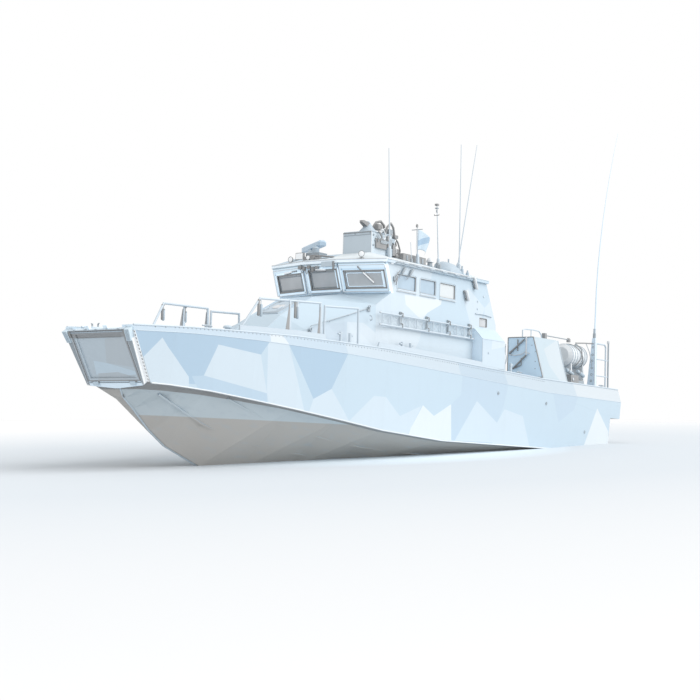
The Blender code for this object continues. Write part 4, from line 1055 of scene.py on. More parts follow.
def make_wipers():
    # Columns: pivot y, z; tip y, z.
    for place, pivot, tip in (("port", (1.03, 3.84), (1.36, 3.47)), ("centre", (-0.30, 3.82), (0.16, 3.80)),
                              ("stbd", (-0.78, 3.82), (-1.26, 3.80))):
        form = Form("wiper_" + place, "black")
        start = Vector((front_x(*pivot) + 0.085, *pivot))
        end = Vector((front_x(*tip) + 0.060, *tip))
        elbow = start.lerp(end, 0.42)
        form.turned(start - Vector((0.03, 0, 0)), AHEAD, ((0, 0.022), (0.03, 0.020), (0.045, 0.012)))
        form.tube([start + Vector((0.012, 0, 0)), elbow, start.lerp(end, 0.6)], 0.014)
        # The white blade takes the glowing lamp look: painted light, as the blade is no lamp.
        form.tube([start.lerp(end, 0.36) + Vector((0.02, 0, 0)), end + Vector((0.02, 0, 0))], 0.018, "lamp")
        form.tube([elbow - Vector((0, 0.01, 0.03)), end - Vector((0, 0.01, 0.03))], 0.009)
        form.done()


def make_lamp(form, centre, ahead, radius, deep=0.10, base=None):
    """A round lamp: a turned body with a glass that fills its thin rim."""
    centre, ahead = Vector(centre), Vector(ahead).normalized()
    shell = ((0, 0.45), (0.4, 0.85), (0.9, 1), (1, 1), (1, 0.86), (0.9, 0.84))
    form.turned(centre - ahead * deep, ahead, [(deep * d, radius * r) for d, r in shell], "black")
    form.dome(centre - ahead * deep * 0.12, ahead, radius * 0.86, radius * 0.25, "lamp")
    if base:
        form.tube([centre - ahead * deep * 0.5, base], 0.014, "black")
        form.turned(base, UP, ((-0.02, 0.05), (0.012, 0.045)), "black")


def make_front_lamps():
    form = Form("floodlight", "black")
    form.block((2.33, -0.90, 4.11), (2.40, -0.66, 4.29))
    form.block((2.396, -0.882, 4.128), (2.412, -0.678, 4.272), "lamp")
    for y in spread(-0.87, -0.69, 7):
        form.block((2.30, y - 0.006, 4.12), (2.335, y + 0.006, 4.28))
    form.tube([(2.36, -0.91, 4.20), (2.34, -0.94, 4.07), (2.34, -0.62, 4.07), (2.36, -0.65, 4.20)], 0.010)
    form.turned((2.34, -0.79, 4.02), UP, ((0, 0.06), (0.05, 0.05)))
    form.done(bevel=0.003)
    lamps = Form("roof_lamps", "black")
    make_lamp(lamps, (2.45, -1.02, 4.13), AHEAD, 0.075, 0.07, (2.30, -1.03, 4.05))
    make_lamp(lamps, (2.60, -0.36, 4.12), (1, 0.1, 0), 0.060, 0.06, (2.52, -0.36, 4.07))
    make_lamp(lamps, (2.50, 1.17, 4.14), (1, 0.3, 0), 0.078, 0.05, (2.42, 1.12, 4.05))
    lamps.block((2.30, 0.98, 4.02), (2.44, 1.20, 4.055))
    lamps.done(bevel=0.004)
    clutter = Form("eave_fittings", "black")
    clutter.block((2.60, 0.10, 3.86), (2.66, 0.42, 3.985), "pale")
    clutter.block((2.60, 0.425, 3.80), (2.65, 0.46, 3.985))
    for y, z, wide, tall in EAVE_BOXES:
        clutter.block((2.58, y, z - tall / 2), (2.65, y + wide, z + tall / 2))
    for y, dip in ((-0.54, 0.10), (-0.39, 0.13), (-0.22, 0.09)):
        loop = [(2.64, y + 0.09 * t, 3.84 - dip * math.sin(math.pi * t)) for t in spread(0, 1, 8)]
        clutter.tube(loop, 0.008)
    for x, y, z, wide, tall in BROW_BOXES:
        clutter.block((x - 0.05, y, z - tall / 2), (x + 0.03, y + wide, z + tall / 2))
    clutter.tube([(2.55, -0.50, 4.12), (2.50, -0.30, 4.18), (2.46, -0.05, 4.16), (2.42, 0.30, 4.12)], 0.020)
    clutter.block((1.90, -0.72, 4.20), (2.22, -0.30, 4.30), "dark")
    clutter.turned((1.95, -0.62, 4.29), UP, ((0, 0.09), (0.16, 0.09), (0.20, 0.05)), "grey")
    clutter.done(bevel=0.006)


def make_roof_edge():
    form = Form("roof_gutter", "white")
    half = ROOF_HALF - 0.002
    outline = ((-2.46, half), (2.26, half), (2.62, 0.55), (2.62, -0.55), (2.26, -half), (-2.46, -half))
    form.tube(rounded([(x, y, ROOF_EAVE) for x, y in outline], 0.04), 0.014, loop=True)
    form.done()
    visor = Form("roof_visor", "house")
    section = ((3.905, 0.0), (3.905, 0.072), (3.955, 0.085), (3.955, 0.0))
    for ends in ((-1.69, -0.55), (-0.53, 0.53), (0.55, 1.69)):
        visor.skin([[(front_x(y, z) + out, y, z) for z, out in section] for y in ends])
    visor.done(bevel=0.004)
    for name, side in SIDES:
        rail = Form("roof_handrail_" + name, "dark")
        path = ((1.92, 1.75, 3.97), (1.88, 1.79, 3.985), (0.97, 1.79, 3.995),
                (-1.67, 1.79, 4.0), (-1.72, 1.75, 3.99))
        rail.tube(to_side(path, side), 0.012)
        for x in spread(1.5, -1.4, 6):
            rail.tube([(x, side * 1.752, 3.985), (x, side * 1.79, 3.99)], 0.012)
            rail.tube([(x - 0.10, side * 1.79, 3.993), (x + 0.10, side * 1.79, 3.993)], 0.017, "rail")
        rail.done()
    seams = Form("roof_panel_seams", "pale")
    stops = (-1.74, -ROOF_SHOULDER, ROOF_SHOULDER, 1.74)
    for x in (-1.35, 0.0, 1.2):
        seams.tube([(x, y, roof_z(y) + 0.001) for y in stops], 0.006, sides=6)
    seams.done()


def make_tub_gear():
    """The open shield box with its rim, cable and side box, the cone in it and the equipment behind."""
    aft, fore, near, far, top = 1.06, 1.92, 0.20, 1.04, 4.78
    form = Form("tub_trim", "pale")
    rim = [(aft, near, top), (fore, near, top), (fore, far, top), (aft, far, top)]
    form.tube(rounded(rim, 0.03), 0.016, "grey", loop=True)
    form.tube([(1.932, near, 4.765), (1.932, far, 4.765)], 0.010, "black", 6)
    form.tube([(1.925, near + 0.02, 4.70), (1.925, far - 0.02, 4.70)], 0.007, "dark", 6)
    for y in (0.55, 1.00):
        form.tube([(1.925, y, 4.70), (1.925, y, 4.765)], 0.006, "dark", 6)
    for y in (near, far):
        form.tube([(fore, y, 4.25), (fore, y, top)], 0.010, "white")
    for x, z in ((1.84, 4.70), (1.78, 4.57), (1.84, 4.45)):
        form.turned((x, 1.035, z), (0, 1, 0), ((0, 0.028), (0.02, 0.026), (0.03, 0.014)), "dark", 10)
    for low, high, look in TUB_SIDE_BOXES:
        form.block(low, high, look)
    for points, radius, look in TUB_SIDE_CABLES:
        form.tube(points, radius, look)
    form.done(bevel=0.004)
    gear = Form("roof_equipment", "dark")
    gear.block((0.62, 0.34, 4.22), (1.00, 0.86, 4.62), "black")
    gear.block((0.70, 0.42, 4.60), (0.94, 0.76, 4.78))
    for points, radius, look in TUB_CABLES:
        gear.tube(points, radius, look)
    for low, high, look in TUB_BOXES:
        gear.block(low, high, look)
    gear.done(bevel=0.010)
    head = Form("sensor_camera", "dark")
    x, y = 1.49, 0.62
    stages = ((1.36, 4.88, 4.98, 0.05), (1.52, 4.92, 5.06, 0.07),
              (1.74, 5.02, 5.10, 0.055), (1.79, 5.04, 5.09, 0.04))
    head.skin([upright(at, y - half, y + half, low, high) for at, low, high, half in stages], "black")
    foot = [(1.31, y - 0.1, 4.72), (1.31, y + 0.1, 4.72), (1.66, y + 0.1, 4.72), (1.66, y - 0.1, 4.72)]
    head.tube(rounded(foot, 0.05), 0.014, "pale", loop=True)
    for angle in (60, 120, 240, 300):
        a = math.radians(angle)
        head.turned((x + 0.18 * math.cos(a), y + 0.18 * math.sin(a), 4.86), (math.cos(a), math.sin(a), 0),
                    ((-0.02, 0.035), (0.012, 0.035), (0.018, 0.02)), "glass_front", 12)
    head.done("sensor")
    cone = Form("sensor_cone", "grey")
    stages = ((0, 0.19), (0.08, 0.25), (0.12, 0.25), (0.18, 0.19), (0.26, 0.12), (0.34, 0.07), (0.40, 0.03))
    cone.turned((x, y, 4.703), UP, stages, sides=24)
    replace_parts(cone.done("sensor"), "sensor_head")


def make_roof_fittings():
    form = Form("roof_fittings", "dark")
    form.turned((-0.45, 1.20, roof_z(1.20) - 0.01), UP, ((0, 0.07), (0.10, 0.06)))
    form.dome((-0.45, 1.20, 4.30), UP, 0.10, 0.12, "white")
    form.tube([(0.57, 1.32, 4.12), (0.57, 1.32, 4.22), (0.63, 1.32, 4.66)], 0.008, "rail")
    form.turned((0.57, 1.32, roof_z(1.32) - 0.01), UP, ((0, 0.04), (0.10, 0.03)))
    for x, y, tall, radius in ((-0.60, 1.34, 0.14, 0.05), (-0.52, 1.46, 0.10, 0.04),
                               (-0.74, 1.26, 0.16, 0.035)):
        stages = ((0, radius), (tall, radius), (tall + 0.03, radius * 0.5))
        form.turned((x, y, roof_z(y) - 0.01), UP, stages)
    hump = []
    for x, half, rise in ((-0.80, 0.10, 0.02), (-0.92, 0.26, 0.16), (-1.12, 0.30, 0.22), (-1.34, 0.30, 0.21),
                          (-1.50, 0.24, 0.14), (-1.60, 0.10, 0.02)):
        ring = []
        for a in (math.pi * k / 8 for k in range(9)):
            y = 1.28 + half * math.cos(a)
            ring.append((x, y, roof_z(y) - 0.01 + rise * math.sin(a) ** 0.7))
        hump.append(ring)
    form.skin(hump, "grey", True)
    for x, y, tall in ((-1.46, 1.12, 0.30), (-1.30, 1.50, 0.20), (-1.62, 1.44, 0.22), (-1.76, 1.52, 0.14)):
        stages = ((0, 0.045), (tall * 0.6, 0.04), (tall * 0.65, 0.022), (tall, 0.02))
        form.turned((x, y, roof_z(y) - 0.01), UP, stages, "grey")
    form.turned((0.2, -0.2, 4.24), UP, ((0, 0.20), (0.06, 0.20), (0.09, 0.05)), "pale")
    form.dome((-1.1, -0.7, 4.25), UP, 0.22, 0.22, "white")
    form.turned((-1.1, -0.7, 4.24), UP, ((0, 0.17), (0.05, 0.17)))
    form.done(bevel=0.004)
    box = Form("roof_box_trim", "black")
    rim = [(-0.22, 0.84, 4.37), (0.72, 0.84, 4.37), (0.72, 1.16, 4.37), (-0.22, 1.16, 4.37)]
    box.tube(rounded(rim, 0.05), 0.016, loop=True)
    for x in (-0.1, 0.6):
        box.block((x - 0.03, 1.195, 4.22), (x + 0.03, 1.215, 4.34), "steel")
    box.turned((0.74, 1.0, 4.30), AHEAD, ((0, 0.07), (0.06, 0.07), (0.10, 0.045)))
    box.done(bevel=0.003)


def make_mast_fittings():
    """Yard, light and halyard of the signal mast, and the fittings near the head of the aerial pole."""
    mast = Form("signal_mast_yard", "dark")
    mast.tube([(0.32, 1.14, 5.02), (0.32, 1.46, 5.02)], 0.010)
    mast.turned((0.33, 1.30, 5.08), UP, ((0, 0.03), (0.05, 0.03), (0.08, 0.015)), "black")
    mast.tube([(0.36, 1.31, 4.42), (0.36, 1.31, 5.0)], 0.004, "rope", 6)
    mast.done()
    pole = Form("aerial_pole_head", "dark")
    x, y, top = -0.56, 1.30, 5.78
    pole.block((x - 0.04, y - 0.04, top - 0.02), (x + 0.04, y + 0.04, top + 0.03), "black")
    pole.block((x - 0.035, y - 0.035, top - 0.10), (x + 0.035, y + 0.035, top - 0.07))
    pole.turned((x, y, top - 0.19), UP, ((0, 0.020), (0.06, 0.020)))
    z, near, far = top - 0.265, y - 0.07, y + 0.07
    pole.tube([(x, near, z), (x, far, z)], 0.010, "black")
    for end in (near, far):
        pole.tube([(x, end, z), (x, end, z + 0.03)], 0.008, "black")
    pole.done()


def make_flag():
    """A plain small flag that waves from the mast's halyard."""
    mesh = bpy.data.meshes.new("flag")
    across, down = 20, 18
    verts, faces = [], []
    for i in range(across + 1):
        u = i / across
        for j in range(down + 1):
            v = j / down
            sag = 0.06 * u + 0.10 * u ** 2 + 0.035 * math.sin(6.0 * u + 1.0)
            x = 0.30 - 0.46 * u * (1 - 0.16 * v * v)
            y = 1.31 + 0.06 * math.sin(8.0 * u + 2.4 * v) * u ** 0.5
            verts.append((x, y, 5.06 - sag - 0.52 * v * (1 - 0.10 * u) - 0.02 * math.sin(7.0 * u + 3.0) * v))
    for i in range(across):
        for j in range(down):
            a = i * (down + 1) + j
            faces.append((a, a + 1, a + down + 2, a + down + 1))
    mesh.from_pydata(verts, [], faces)
    for face in mesh.polygons:
        face.use_smooth = True
    mesh.materials.append(M["flag"])
    flag = bpy.data.objects.new("flag", mesh)
    bpy.context.scene.collection.objects.link(flag)
    solid = flag.modifiers.new("cloth", "SOLIDIFY")
    solid.thickness = 0.002
    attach(flag, "boat")


def make_trunk_fittings():
    for name, side in SIDES:
        form = Form("trunk_fittings_" + name, "dark")
        rail = ((4.50, 1.245, 2.16), (4.48, 1.25, 2.24), (3.60, 1.42, 2.51),
                (2.78, 1.59, 2.78), (2.74, 1.60, 2.72))
        form.tube(to_side(rail, side), 0.011, "steel")
        for t in (0.33, 0.66):
            top = Vector((4.48 + (2.78 - 4.48) * t, side * (1.25 + 0.34 * t), 2.24 + 0.54 * t))
            form.tube([top, top + Vector((0, -side * 0.05, -0.09))], 0.009, "steel")
        for x, y, z in ((2.73, 1.585, 2.80), (4.50, 1.23, 2.12)):
            between(form, (x - 0.05, x + 0.05), side * y, side * (y + 0.02), (z - 0.08, z + 0.02))
            form.tube(circle(x, side * (y + 0.03), z + 0.03, 0.04, 10, "xz"), 0.011, "steel", loop=True)
        hook = ((1.66, 2.62), (1.72, 2.60), (1.73, 2.53), (1.69, 2.50), (1.67, 2.54))
        form.tube([(2.77, side * y, z) for y, z in hook], 0.012, "steel")
        form.done(bevel=0.002)
    seams = Form("trunk_seams", "pale")
    stops = [row[0] for row in TRUNK]
    stops[-1] -= 0.01
    for side in (1, -1):
        for y_column, z_column in ((1, 2), (3, 4)):
            path = [(x, side * table_value(TRUNK, x, y_column), table_value(TRUNK, x, z_column) + 0.003)
                    for x in stops]
            seams.tube(path, 0.006, sides=6)
    seams.done()
    coaming = Form("well_coaming", "black")
    x, foot = WELL_AFT, deck_z(WELL_AFT)
    for side in (1, -1):
        between(coaming, (x - 0.02, x + 0.06), side * 0.70, side * 0.86, (foot, foot + 0.16))
    coaming.done(bevel=0.004)


def make_hatch_trim():
    form = Form("hatch_trim", "steel")
    high, low = TRUNK[2], TRUNK[3]
    fall = (low[2] - high[2]) / (low[0] - high[0])

    def on_lid(x, y, lift=0.0):
        return Vector((x, y, high[2] + (x - high[0]) * fall + 0.03 + lift))

    rim = [on_lid(x, y, 0.002) for x, y in ((3.76, -0.28), (3.76, 0.28), (4.48, 0.28), (4.48, -0.28))]
    form.tube(rounded(rim, 0.06), 0.010, "dark", 6, loop=True)
    for y in (0.20, -0.20):
        form.handle(on_lid(4.38, y), on_lid(4.24, y), (0, 0, 0.04), 0.010, "rail")
        form.tube([on_lid(3.72, y - 0.08, -0.005), on_lid(3.72, y + 0.08, -0.005)], 0.014)
        form.block(on_lid(3.75, y - 0.03, -0.012), on_lid(3.84, y + 0.03, 0.0))
    port = ((0, 0.16), (0.016, 0.155), (0.020, 0.13))
    form.turned(on_lid(4.10, 0, -0.010), (0.42, 0, 1), port, "glass_front", 24)
    form.done("hatch", bevel=0.002)


def make_side_fittings():
    """Lamps, brackets and pipes on the wheelhouse sides."""
    nozzle = ((0, 0.016), (0.03, 0.026), (0.08, 0.034), (0.20, 0.034), (0.22, 0.022))
    for name, side in SIDES:
        form = Form("side_fittings_" + name, "dark")

        def at(x, out, z):
            return Vector((x, side * (HOUSE_HALF + out), z))

        form.block(at(1.84, 0.0, 3.54), at(1.92, 0.04, 3.64))
        for low_x, low_z, high_x, high_z in ((1.88, 3.62, 1.70, 3.80), (1.90, 3.50, 1.76, 3.68),
                                             (1.84, 3.44, 1.80, 3.60)):
            form.tube([at(low_x, 0.04, low_z), at(high_x, 0.05, high_z)], 0.012, "black")
        for x, z in ((1.61, 3.73), (1.28, 3.72)):
            form.turned(at(x, 0.05, z), (-0.62, 0, 0.78), nozzle)
            form.tube([at(x, 0.04, z), at(x + 0.08, 0.02, z - 0.10)], 0.010)
        for x, z, reach in ((-1.69, 4.04, 0.32), (-1.31, 3.66, 0.28)):
            cylinder = ((0, 0.03), (0.02, 0.042), (reach, 0.042), (reach + 0.02, 0.03))
            form.turned(at(x, 0.07, z), (-0.45, 0, -0.89), cylinder, "white")
            end_x, end_z = x - 0.45 * reach, z - 0.89 * reach
            form.tube([at(x + 0.05, 0.05, z - 0.02), at(end_x + 0.05, 0.05, end_z - 0.02)], 0.012, "black")
            for t in (0.04, reach - 0.03):
                low = at(x - 0.45 * t - 0.04, 0.0, z - 0.89 * t - 0.02)
                form.block(low, low + Vector((0.08, side * 0.04, 0.05)), "black")
        form.turned(at(1.98, -0.02, 3.98), (0, side, 0), ((0, 0.06), (0.05, 0.055), (0.07, 0.03)), "lamp")
        for x, z in ((-2.0, 3.45), (-2.0, 3.25), (-2.30, 3.60)):
            form.turned(at(x, -0.002, z), (0, side, 0), ((0, 0.03), (0.015, 0.03), (0.02, 0.02)), "pale", 12)
        form.done(bevel=0.003)


def make_ladder_trim():
    form = Form("ladder_mesh", "rail")
    low, high = 2.44, 2.72
    xs = spread(-1.64, 2.40, 12)
    for first, second in zip(xs, xs[1:]):
        form.tube([(first, 1.762, low), (second, 1.762, high)], 0.005, sides=6)
        form.tube([(first, 1.758, high), (second, 1.758, low)], 0.005, sides=6)
    form.done()
    mounts = Form("ladder_mounts", "dark")
    for x in (1.58, 0.42, -0.56, -1.57):
        mounts.block((x - 0.035, 1.698, 2.52), (x + 0.035, 1.735, 2.82))
        for top, foot in ((2.80, 2.68), (2.54, 2.44)):
            mounts.tube([(x, 1.72, top), (x, 1.79, top - 0.02), (x, 1.79, foot)], 0.014, "black")
    for x, way in ((2.50, 1), (-1.74, -1)):
        for z, radius in ((low, 0.026), (high, 0.022)):
            stages = ((0, radius * 0.6), (0.01, radius), (0.05, radius))
            mounts.turned((x + 0.012 * way, 1.76, z), (-way, 0, 0), stages, "rubber")
    mounts.done(bevel=0.003)


def make_locker_trim():
    aft, fore = LOCKER_X
    for name, side in SIDES:
        form = Form("locker_trim_" + name, "pale")
        wall = side * LOCKER_Y
        form.tube([(aft + 0.02, wall, 2.452), (fore - 0.02, wall, 2.452)], 0.008)
        form.tube([(fore + 0.001, y, z) for y, z in ((side * 1.72, 2.75), (wall, 2.45), (wall, 1.80))], 0.008)
        lock = ((-0.004, 0.03), (0.008, 0.03), (0.012, 0.02))
        form.turned((fore - 0.30, wall, 2.10), (0, side, 0), lock, "grey", 12)
        form.done(bevel=0.002)


def door_hardware(form, x, way, half, low, high, edge, pin, heights):
    """A seal round a door's face, and hinges and dogs at some heights. Way: 1 faces ahead, -1 astern."""
    form.tube(rounded(upright(x, -half, half, low, high), 0.08), 0.012, "grey", 6, loop=True)
    strap = sorted((x - 0.006 * way, x + 0.010 * way))
    for z in heights:
        form.turned((x + 0.004 * way, edge, z - pin / 2), UP, ((0, 0.014), (pin, 0.014)), sides=10)
        form.block((strap[0], edge - 0.13, z - 0.03), (strap[1], edge - 0.01, z + 0.03))
        dog = 0.09 - edge
        form.tube([(x, dog, z), (x + 0.03 * way, dog, z), (x + 0.03 * way, dog - 0.07, z - 0.02)], 0.012)


def make_doors():
    fore = Form("fore_door_trim", "steel")
    x, middle = WELL_AFT + 0.05, 1.42
    door_hardware(fore, x, 1, 0.40, 0.86, 1.99, 0.47, 0.14, (1.02, middle, 1.82))
    fore.turned((x - 0.005, 0, middle), AHEAD, ((0, 0.05), (0.05, 0.045), (0.06, 0.03)))
    wheel = x + 0.05
    fore.tube(circle(wheel, 0, middle, 0.13, 20), 0.012, loop=True)
    for a in (0.5, 2.6, 4.7):
        fore.tube([(wheel, 0, middle), (wheel, 0.13 * math.cos(a), middle + 0.13 * math.sin(a))], 0.009)
    for z in (1.68, 1.08):
        fore.block((x - 0.006, -0.28, z), (x + 0.012, 0.28, z + 0.06), "grey")
    fore.done("fore_door", bevel=0.003)
    aft = Form("rear_door_trim", "steel")
    x = -3.03
    door_hardware(aft, x, -1, 0.36, 1.14, 2.83, 0.43, 0.16, (1.3, 1.95, 2.6))
    aft.block((x - 0.010, -0.15, 2.19), (x + 0.006, 0.15, 2.61), "glass_front")
    aft.tube(rounded(upright(x - 0.004, -0.16, 0.16, 2.18, 2.62), 0.06), 0.018, "black", loop=True)
    grip = ((0, 1.80), (-0.05, 1.82), (-0.05, 2.08), (0, 2.10))
    aft.tube([(x + out, -0.28, z) for out, z in grip], 0.011, "rail")
    aft.turned((x + 0.004, -0.30, 1.62), ASTERN, ((0, 0.035), (0.03, 0.03), (0.05, 0.02)))
    aft.tube([(x - 0.04, -0.30, 1.62), (x - 0.045, -0.16, 1.60)], 0.011)
    aft.done("rear_door", bevel=0.003)


def make_well():
    """The bow well: grating, lashing rings, lamps and kick plates."""
    form = Form("bow_well_fittings", "rail")
    for y in spread(-0.60, 0.60, 13):
        form.block((WELL_AFT + 0.11, y - 0.008, 0.738), (9.20, y + 0.008, 0.752))
    for x in spread(WELL_AFT + 0.13, 9.18, 21):
        form.block((x - 0.008, -0.62, 0.736), (x + 0.008, 0.62, 0.749))
    for side in (1, -1):
        wall, rail = side * 0.66, side * 0.635
        for x in (6.0, 7.0, 8.0, 9.0):
            between(form, (x - 0.06, x + 0.06), wall, wall - side * 0.012, (1.02, 1.12), "steel")
            form.tube(circle(x, wall - side * 0.02, 1.05, 0.04, 10, "xz"), 0.009, "steel", loop=True)
        form.tube([(5.85, rail, 1.50), (9.30, rail, 1.50)], 0.018)
        for x in spread(5.95, 9.2, 6):
            form.tube([(x, wall, 1.50), (x, rail, 1.50)], 0.012)
        for x in (6.6, 8.2):
            lamp = ((0, 0.06), (0.02, 0.06), (0.03, 0.05))
            form.turned((x, side * 0.662, 1.30), (0, -side, 0), lamp, "glass_lamp")
        stops = (WELL_AFT + 0.05, 6.75, 7.8, 8.8, 9.7)
        form.tube([(x, wall, deck_z(x) + 0.004) for x in stops], 0.022, "pale")
    form.done(bevel=0.002)


def make_decks():
    """Raised non-slip panels, vents and cleats on the decks."""
    panels = Form("non_slip_panels", "deck")
    for aft, fore, inner, outer in DECK_PANELS:
        for side in (1, -1):
            rings = []
            for x in (aft, (aft + fore) / 2, fore):
                near, far = min(inner, deck_y(x) - 0.24), min(outer, deck_y(x) - 0.08)
                z = deck_z(x) + 0.001
                rings.append(upright(x, side * near, side * far, z - 0.01, z + 0.006))
            panels.skin(rings)
    panels.done()
    form = Form("deck_fittings", "steel")
    vent = ((0, 0.07), (0.02, 0.06), (0.10, 0.06), (0.10, 0.10), (0.14, 0.09), (0.16, 0.04))
    for side in (1, -1):
        for x, y in ((7.4, 0.95), (5.2, 1.40)):
            plate = ((0, 0.06), (0.012, 0.058), (0.016, 0.05))
            form.turned((x, side * y, deck_z(x) - 0.004), UP, plate)
        for x in (7.85, -3.9, -9.0):
            y, z = side * (deck_y(x) - 0.13), deck_z(x)
            form.block((x - 0.10, y - 0.03, z - 0.004), (x + 0.10, y + 0.03, z + 0.012))
            for way in (-1, 1):
                form.tube([(x + way * 0.05, y, z), (x + way * 0.05, y, z + 0.07)], 0.016)
            horns = ((-0.15, 0.065), (-0.05, 0.075), (0.05, 0.075), (0.15, 0.065))
            form.tube([(x + along, y, z + up) for along, up in horns], 0.016)
        form.turned((6.9, side * 0.86, deck_z(6.9) - 0.004), UP, vent, "pale", 20)
    form.done(bevel=0.003)


def make_hanging_lamps():
    """Pairs of tubes, one black and one light, that hang from the bow rail."""
    form = Form("rail_hung_tubes", "black")
    for side in (1, -1):
        for x, top in ((6.51, 2.62), (5.47 if side > 0 else 5.60, 2.66)):
            y = side * (deck_y(x) - 0.10)
            form.turned((x + 0.03, y, top), DOWN, ((0, 0.015), (0.02, 0.028), (0.34, 0.028), (0.36, 0.018)))
            x_light, y_light = x - 0.03, y + side * 0.02
            light = ((0, 0.02), (0.02, 0.034), (0.24, 0.034), (0.27, 0.022))
            form.turned((x_light, y_light, top - 0.10), DOWN, light, "grey")
            form.turned((x_light, y_light, top + 0.01), DOWN, ((0, 0.012), (0.12, 0.012)), "white", 8)
            for z in (top - 0.02, top - 0.12):
                form.tube([(x, y - side * 0.04, z), (x, y + side * 0.03, z)], 0.012, "dark")
    form.done()


def make_aft_box_trim():
    for name, side in SIDES:
        form = Form("aft_box_trim_" + name, "dark")

        def face(y, z, out=0.0):
            return Vector((AFT_BOX_FACE + out, side * y, z))

        outline = ((0.86, 1.66), (1.97, 1.66), (1.655, 2.78), (0.86, 2.78))
        form.slab([face(y, z) for y, z in outline], 0.008 * side, "aft_face")
        form.tube(rounded([face(y, z, 0.012) for y, z in outline], 0.02), 0.013, "black", loop=True)
        for points, radius, look in AFT_BOX_TUBES:
            form.tube([face(*p) for p in points], radius, look)
        for y, z in ((1.73, 2.37), (1.73, 2.10), (1.73, 1.90), (1.62, 2.55)):
            form.turned(face(y, z, 0.006), AHEAD, ((0, 0.016), (0.012, 0.014)), "steel", 8)
        y = side * 1.30
        rail = ((-5.12, 2.79), (-5.12, 2.98), (-5.25, 3.02), (-5.70, 3.04),
                (-6.05, 3.03), (-6.20, 2.93), (-6.22, 2.79))
        form.tube([(x, y, z) for x, z in rail], 0.018, "rail")
        form.tube([(-5.60, y, 2.79), (-5.60, y, 3.035)], 0.014, "rail")
        form.block((-6.44, y - 0.05, 2.785), (-6.32, y + 0.05, 3.0), "black")
        y = side * 0.845
        for z in spread(1.90, 2.60, 6):
            form.bar((-5.45, y, z), (-6.20, y, z), 0.02, 0.05, "dark", (0, side * 0.6, 1))
        for x in (-5.14, -6.51):
            form.tube([(x, side * 1.982, 1.66), (x, side * 1.664, 2.79)], 0.008, "pale", 6)
        form.done(bevel=0.003)


def make_engine_lid_trim():
    form = Form("engine_lid_trim", "steel")

    def on_lid(x, y, lift=0.0):
        return Vector((x, y, deck_z(x) + 0.06 + lift))

    rim = [on_lid(x, y, 0.001) for x, y in ((-7.88, -0.60), (-7.88, 0.60), (-5.62, 0.60), (-5.62, -0.60))]
    form.tube(rounded(rim, 0.08), 0.009, "pale", 6, loop=True)
    for x in (-7.3, -6.75, -6.2):
        form.tube([on_lid(x, y, 0.002) for y in (-0.58, 0.58)], 0.012, "deck", 6)
    for side in (1, -1):
        y = side * 0.5
        for x in (-7.6, -6.0):
            form.handle(on_lid(x - 0.09, y), on_lid(x + 0.09, y), (0, 0, 0.055), 0.012, "rail")
        form.turned(on_lid(-5.545, side * 0.4 - 0.10), (0, 1, 0), ((0, 0.020), (0.2, 0.020)))
        form.turned(on_lid(-7.70, side * 0.2, -0.005), UP, ((0, 0.05), (0.012, 0.05), (0.02, 0.03)))
    form.done("engine_lid", bevel=0.002)


def make_raft_trim():
    """Straps and lashings that hold the raft canisters."""
    for name, side in SIDES:
        form = Form("raft_trim_" + name, "pale")
        x, y, z = RAFT[0], side * RAFT[1], RAFT[2]
        for at in spread(x - 0.44, x + 0.44, 7):
            look = "strap" if round((at - x) * 100) % 2 else "grey"
            form.tube(circle(at, y, z, 0.330, 28), 0.013, look, 6, loop=True)
        for at in spread(x - 0.40, x + 0.40, 8):
            form.tube(circle(at, y, z, 0.326, 28), 0.007, "white", 6, loop=True)
        for first, second in ((x - 0.30, x + 0.22), (x + 0.10, x - 0.34)):
            lash = []
            for t in spread(0, 1, 14):
                a = math.radians(-55 + 150 * t)
                at = first + (second - first) * t
                lash.append((at, y + side * 0.348 * math.cos(a), z + 0.348 * math.sin(a)))
            form.tube(lash, 0.012, "black", 6)
        form.turned((x - 0.36, y, z + 0.33), UP, ((0, 0.05), (0.05, 0.045), (0.06, 0.02)), "dark")
        form.done(bevel=0.003)


def make_rail_trim():
    """Plates on the forward edges of the bow rail's legs, black as painted shade on faces that look ahead."""
    for name, side in SIDES:
        # Black: painted shade, as the plates face ahead, away from the sun.
        form = Form("rail_plates_shade_" + name, "black")
        for x, top, foot_wide in ((5.65, 2.60, 0.15), (4.70, 2.62, 0.10)):
            y, foot, aft = side * (deck_y(x) - 0.085), deck_z(x) + 0.01, x + 0.018
            near, far = y - 0.004, y + 0.004
            form.skin([[(aft, near, z), (aft + wide, near, z), (aft + wide, far, z), (aft, far, z)]
                       for z, wide in ((foot, foot_wide), (top, 0.02))])
        form.done(bevel=0.001)


